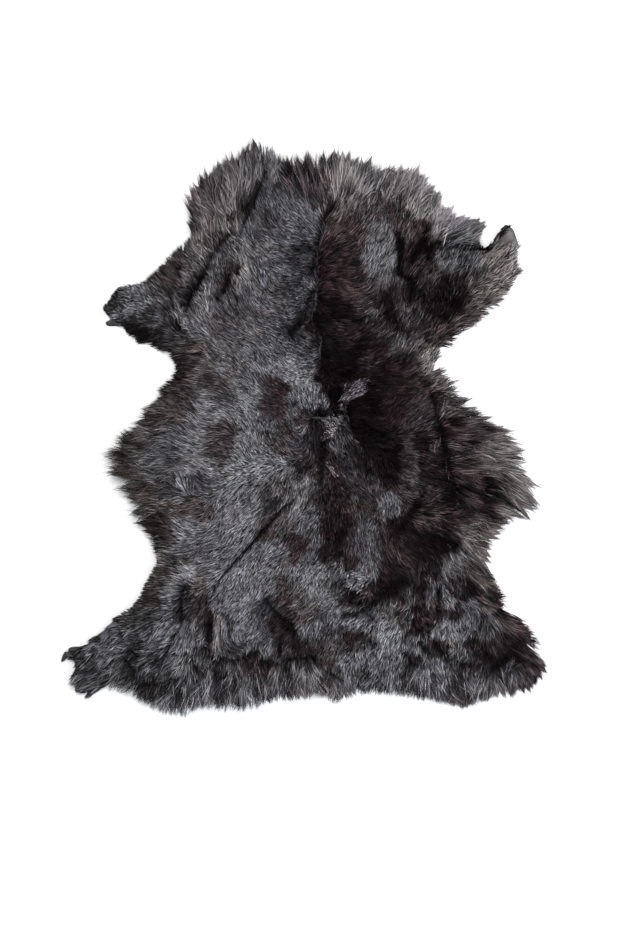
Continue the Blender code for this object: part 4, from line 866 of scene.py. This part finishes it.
def strand_mesh(name, points, width, own, colours, material):
    """Strands as one mesh of flat tapered ribbons, each on its own strip of the map and rounded by its normals."""
    n, levels, _ = points.shape
    parts = levels - 1
    along = np.gradient(points, axis=1)
    along /= np.maximum(np.linalg.norm(along, axis=2, keepdims=True), 1e-9)
    across = np.cross(along, np.array([0.0, 0.0, 1.0]))
    across /= np.maximum(np.linalg.norm(across, axis=2, keepdims=True), 1e-9)
    upward = np.cross(across, along)
    roll = np.radians(34 * own[:, 4])[:, None, None]
    across, upward = across * np.cos(roll) + upward * np.sin(roll), upward * np.cos(roll) - across * np.sin(roll)

    per = 2 * parts + 1
    level = [min(v // 2, parts) for v in range(per)]
    co, normal = np.zeros((n, per, 3)), np.zeros((n, per, 3))
    for v in range(per):
        k, side = level[v], (v % 2) * 2 - 1 if v < per - 1 else 0
        half = (width * TAPER[parts][k] / 2)[:, None]
        co[:, v] = points[:, k] + side * half * across[:, k]
        normal[:, v] = upward[:, k] + side * 0.7 * across[:, k]
    normal /= np.linalg.norm(normal, axis=2, keepdims=True)
    colour = np.ones((n, per, 4), np.float32)
    colour[:, :, :3] = colours[:, level]

    corner, sizes = [], []  # the corners of one strand's faces
    for k in range(parts - 1):
        corner += [2 * k, 2 * k + 1, 2 * k + 3, 2 * k + 2]
        sizes.append(4)
    corner += [2 * parts - 2, 2 * parts - 1, 2 * parts]
    sizes.append(3)
    loops = (np.array(corner)[None] + np.arange(n)[:, None] * per).astype(np.int32).ravel()
    starts = np.concatenate([[0], np.cumsum(np.tile(sizes, n))[:-1]]).astype(np.int32)

    mesh = bpy.data.meshes.new(name)
    mesh.vertices.add(n * per)
    mesh.vertices.foreach_set("co", (co * MM).astype(np.float32).ravel())
    mesh.loops.add(len(loops))
    mesh.loops.foreach_set("vertex_index", loops)
    mesh.polygons.add(len(starts))
    mesh.polygons.foreach_set("loop_start", starts)
    mesh.update(calc_edges=True)
    mesh.polygons.foreach_set("use_smooth", np.ones(len(starts), bool))

    # Each strand has its own strip of the map, root at the bottom.
    columns = math.ceil(math.sqrt(n * 3.4))
    rows = math.ceil(n / columns)
    i = np.arange(n)
    left, bottom = (i % columns) / columns, (i // columns) / rows
    uv = np.zeros((n, per, 2))
    for v in range(per):
        side = (v % 2) * 0.96 if v < per - 1 else 0.48
        uv[:, v, 0] = left + side / columns
        uv[:, v, 1] = bottom + 0.96 * level[v] / parts / rows
    layer = mesh.uv_layers.new(name="OFBake")
    layer.uv.foreach_set("vector", uv.reshape(-1, 2)[loops].astype(np.float32).ravel())

    wool = mesh.color_attributes.new("wool", "FLOAT_COLOR", "POINT")
    wool.data.foreach_set("color", colour.ravel())
    normals = mesh.attributes.new("custom_normal", "FLOAT_VECTOR", "POINT")
    normals.data.foreach_set("vector", normal.astype(np.float32).ravel())
    mesh.materials.append(material)
    mesh.validate()
    obj = bpy.data.objects.new(name, mesh)
    bpy.context.scene.collection.objects.link(obj)
    return obj


def wool_material():
    """Wool: the strands' painted colour (their own tone, painted sheen and painted shade), mottled a little, with the
    sheen of straight hair.
    """
    material = bpy.data.materials.new("wool")
    material.use_nodes = True
    nodes, links = material.node_tree.nodes, material.node_tree.links
    shader = nodes["Principled BSDF"]
    own = nodes.new("ShaderNodeVertexColor")
    own.layer_name = "wool"
    place = nodes.new("ShaderNodeTexCoord")
    mottle = nodes.new("ShaderNodeTexNoise")
    mottle.inputs["Scale"].default_value = 170
    mottle.inputs["Detail"].default_value = 2
    links.new(place.outputs["Object"], mottle.inputs["Vector"])
    level = nodes.new("ShaderNodeMapRange")
    level.inputs["From Min"].default_value = 0.3
    level.inputs["From Max"].default_value = 0.7
    level.inputs["To Min"].default_value = 0.80
    level.inputs["To Max"].default_value = 1.20
    links.new(mottle.outputs["Fac"], level.inputs["Value"])
    mixed = nodes.new("ShaderNodeVectorMath")
    mixed.operation = "SCALE"
    links.new(own.outputs["Color"], mixed.inputs[0])
    links.new(level.outputs["Result"], mixed.inputs["Scale"])
    links.new(mixed.outputs[0], shader.inputs["Base Color"])
    shader.inputs["Roughness"].default_value = 0.42
    shader.inputs["Specular IOR Level"].default_value = 0.06
    return material


def leather_material():
    """Dark dyed leather: fine grain where it is bare."""
    material = bpy.data.materials.new("leather")
    material.use_nodes = True
    nodes, links = material.node_tree.nodes, material.node_tree.links
    shader = nodes["Principled BSDF"]
    place = nodes.new("ShaderNodeTexCoord")
    grain = nodes.new("ShaderNodeTexNoise")
    grain.inputs["Scale"].default_value = 420
    grain.inputs["Detail"].default_value = 5
    clouds = nodes.new("ShaderNodeTexNoise")
    clouds.inputs["Scale"].default_value = 22
    clouds.inputs["Detail"].default_value = 4
    links.new(place.outputs["Object"], grain.inputs["Vector"])
    links.new(place.outputs["Object"], clouds.inputs["Vector"])
    ramp = nodes.new("ShaderNodeValToRGB")
    ramp.color_ramp.elements[0].position, ramp.color_ramp.elements[0].color = 0.3, (0.020, 0.018, 0.018, 1)
    ramp.color_ramp.elements[1].position, ramp.color_ramp.elements[1].color = 0.75, (0.062, 0.056, 0.055, 1)
    links.new(clouds.outputs["Fac"], ramp.inputs["Fac"])
    split = nodes.new("ShaderNodeSeparateXYZ")
    links.new(place.outputs["Object"], split.inputs["Vector"])
    side = nodes.new("ShaderNodeMapRange")  # paler towards the right fore-leg
    side.inputs["From Min"].default_value = 0.10
    side.inputs["From Max"].default_value = 0.34
    side.inputs["To Min"].default_value = 0.35
    side.inputs["To Max"].default_value = 1.3
    links.new(split.outputs["X"], side.inputs["Value"])
    toned = nodes.new("ShaderNodeVectorMath")
    toned.operation = "SCALE"
    links.new(ramp.outputs["Color"], toned.inputs[0])
    links.new(side.outputs["Result"], toned.inputs["Scale"])
    bump = nodes.new("ShaderNodeBump")
    bump.inputs["Strength"].default_value = 0.5
    bump.inputs["Distance"].default_value = 0.0006
    links.new(grain.outputs["Fac"], bump.inputs["Height"])
    links.new(toned.outputs[0], shader.inputs["Base Color"])
    links.new(bump.outputs["Normal"], shader.inputs["Normal"])
    shader.inputs["Roughness"].default_value = 0.62
    return material


def make_leather(material):
    """The tanned skin under the wool: a closed sheet 2 mm thick, cut to the outline less the wool's reach."""
    step = 6.0
    x = np.arange(-432, 433, step)
    y = np.arange(-508, 509, step)
    grid = np.stack(np.meshgrid(x, y, indexing="ij"), axis=-1)
    flat = grid.reshape(-1, 2).copy()
    slope = np.stack(np.gradient(SKIN, CELL), axis=-1)
    for _ in range(3):  # points near the edge are moved onto it
        f = sample(SKIN, flat)
        g = sample(slope, flat)
        g2 = np.maximum((g**2).sum(axis=1), 0.2)
        near = (np.abs(sample(SKIN, grid.reshape(-1, 2))) < step * 0.62)
        flat[near] -= (f / g2)[near, None] * g[near]
    ok = (sample(SKIN, flat) > -1.2).reshape(grid.shape[:2])
    index = -np.ones(grid.shape[:2], int)
    quads = ok[:-1, :-1] & ok[1:, :-1] & ok[1:, 1:] & ok[:-1, 1:]
    sheet = np.zeros_like(quads)
    sheet[quads.shape[0] // 2, quads.shape[1] // 2] = True
    for _ in range(800):  # only what hangs together with the middle is leather
        wider = sheet.copy()
        wider[1:] |= sheet[:-1]
        wider[:-1] |= sheet[1:]
        wider[:, 1:] |= sheet[:, :-1]
        wider[:, :-1] |= sheet[:, 1:]
        wider &= quads
        if (wider == sheet).all():
            break
        sheet = wider
    quads = sheet
    used = np.zeros_like(ok)
    for dx, dy in ((0, 0), (1, 0), (1, 1), (0, 1)):
        used[dx : dx + quads.shape[0], dy : dy + quads.shape[1]] |= quads
    index[used] = np.arange(used.sum())
    where = flat.reshape(*grid.shape)[used]
    height = leather_height(where)
    i, j = np.nonzero(quads)
    faces = np.stack([index[i, j], index[i + 1, j], index[i + 1, j + 1], index[i, j + 1]], axis=1)
    mesh = bpy.data.meshes.new("leather")
    co = np.concatenate([where, height[:, None]], axis=1) * MM
    mesh.from_pydata(co.tolist(), [], faces.tolist())
    mesh.update()
    mesh.polygons.foreach_set("use_smooth", np.ones(len(mesh.polygons), bool))
    obj = bpy.data.objects.new("leather", mesh)
    bpy.context.scene.collection.objects.link(obj)
    mesh.materials.append(material)
    thick = obj.modifiers.new("thickness", "SOLIDIFY")
    thick.thickness = LEATHER * MM
    thick.offset = -1
    bpy.context.view_layer.objects.active = obj
    obj.select_set(True)
    bpy.ops.object.modifier_apply(modifier=thick.name)
    area = len(faces) * (step * MM) ** 2
    return obj, area


wool = wool_material()
hide, hide_area = make_leather(leather_material())


def bare_at(points):
    bare = np.zeros(len(points), bool)
    for x, y, radius in BARE:
        bare |= np.linalg.norm(points - chart(x, y), axis=1) < radius * SQUARE
    return bare


def rooted(points):
    """The points on the leather where wool grows."""
    on_skin = sample(SKIN, points) > 1.0
    return points[on_skin & ~bare_at(points)]


# Short wool everywhere, and over it the longer wool where the wool is long, closest at the leather's edge.
short_roots = rooted(shaken_grid(1.40, 31))
fringe_share = np.clip((sample(NAP_FIELD, short_roots)[:, 2] - 30) / 16, 0, 1)
short_roots = short_roots[np.random.default_rng(32).random(len(short_roots)) > 0.5 * fringe_share]
long_roots = rooted(shaken_grid(1.42, 33))
share = np.clip((sample(NAP_FIELD, long_roots)[:, 2] - 31) / 13, 0, 1)
share *= np.where(sample(SKIN, long_roots) < 34, 1.0, 0.50)
long_roots = long_roots[np.random.default_rng(34).random(len(long_roots)) < share]
print("strands", len(short_roots), len(long_roots), "skin area", hide_area)

fleece = []
for i in range(4):
    fleece.append(strand_mesh(f"wool_short_{i + 1}", *grow(short_roots[i::4], 41 + i, 2, 1.1, 0.95), wool))
# The long strands are made a little lighter all over (the last argument).
for i in range(2):
    fleece.append(strand_mesh(f"wool_long_{i + 1}", *grow(long_roots[i::2], 51 + i, 3, 1.3, 1.2, 0.03), wool))

triangles = sum(sum(len(p.vertices) - 2 for p in o.data.polygons) for o in [*fleece, hide])
print("triangles", triangles)

for piece in fleece:
    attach(piece, "root")
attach(hide, "root")
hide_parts("sheepskin")

# ---------------------------------------------------------------------------------------------------------------
# Floor, light and camera
# ---------------------------------------------------------------------------------------------------------------

bpy.ops.mesh.primitive_plane_add(size=14, location=(0, 0, 0))
floor = bpy.context.object
floor.name = "floor"
floor_material = bpy.data.materials.new("floor")
floor_material.use_nodes = True
floor_shader = floor_material.node_tree.nodes["Principled BSDF"]
floor_shader.inputs["Base Color"].default_value = (0.86, 0.86, 0.86, 1)
floor_shader.inputs["Roughness"].default_value = 0.9
floor_shader.inputs["Specular IOR Level"].default_value = 0.1
floor.data.materials.append(floor_material)

world = bpy.data.worlds.new("studio")
world.use_nodes = True
world.node_tree.nodes["Background"].inputs["Color"].default_value = (0.93, 0.96, 1.0, 1)
world.node_tree.nodes["Background"].inputs["Strength"].default_value = 0.6
bpy.context.scene.world = world


def lamp(name, place, size, power, colour):
    data = bpy.data.lights.new(name, "AREA")
    data.shape = "DISK"
    data.size = size
    data.energy = power
    data.color = colour
    obj = bpy.data.objects.new(name, data)
    obj.location = place
    obj.rotation_mode = "QUATERNION"
    obj.rotation_quaternion = (-Vector(place)).to_track_quat("-Z", "Y")
    bpy.context.scene.collection.objects.link(obj)


lamp("key", (3.2, -0.9, 1.9), 1.3, 210, (0.95, 0.97, 1.0))
lamp("soft", (-0.6, 1.4, 3.4), 2.4, 120, (1.0, 0.98, 0.96))

camera_data = bpy.data.cameras.new("camera")
camera = bpy.data.objects.new("camera", camera_data)
bpy.context.scene.collection.objects.link(camera)
bpy.context.scene.camera = camera
centre = chart(*VIEW_MIDDLE) * MM
height = 5.0
camera.location = (centre[0], centre[1], height)
camera.rotation_euler = (0, 0, 0)
camera_data.sensor_width = 36
camera_data.lens = 36 * height / (VIEW_HEIGHT * SQUARE * MM)
camera_data.clip_end = 30

bpy.context.scene.view_settings.view_transform = "Standard"
bpy.context.scene.view_settings.look = "None"

bpy.context.view_layer.update()
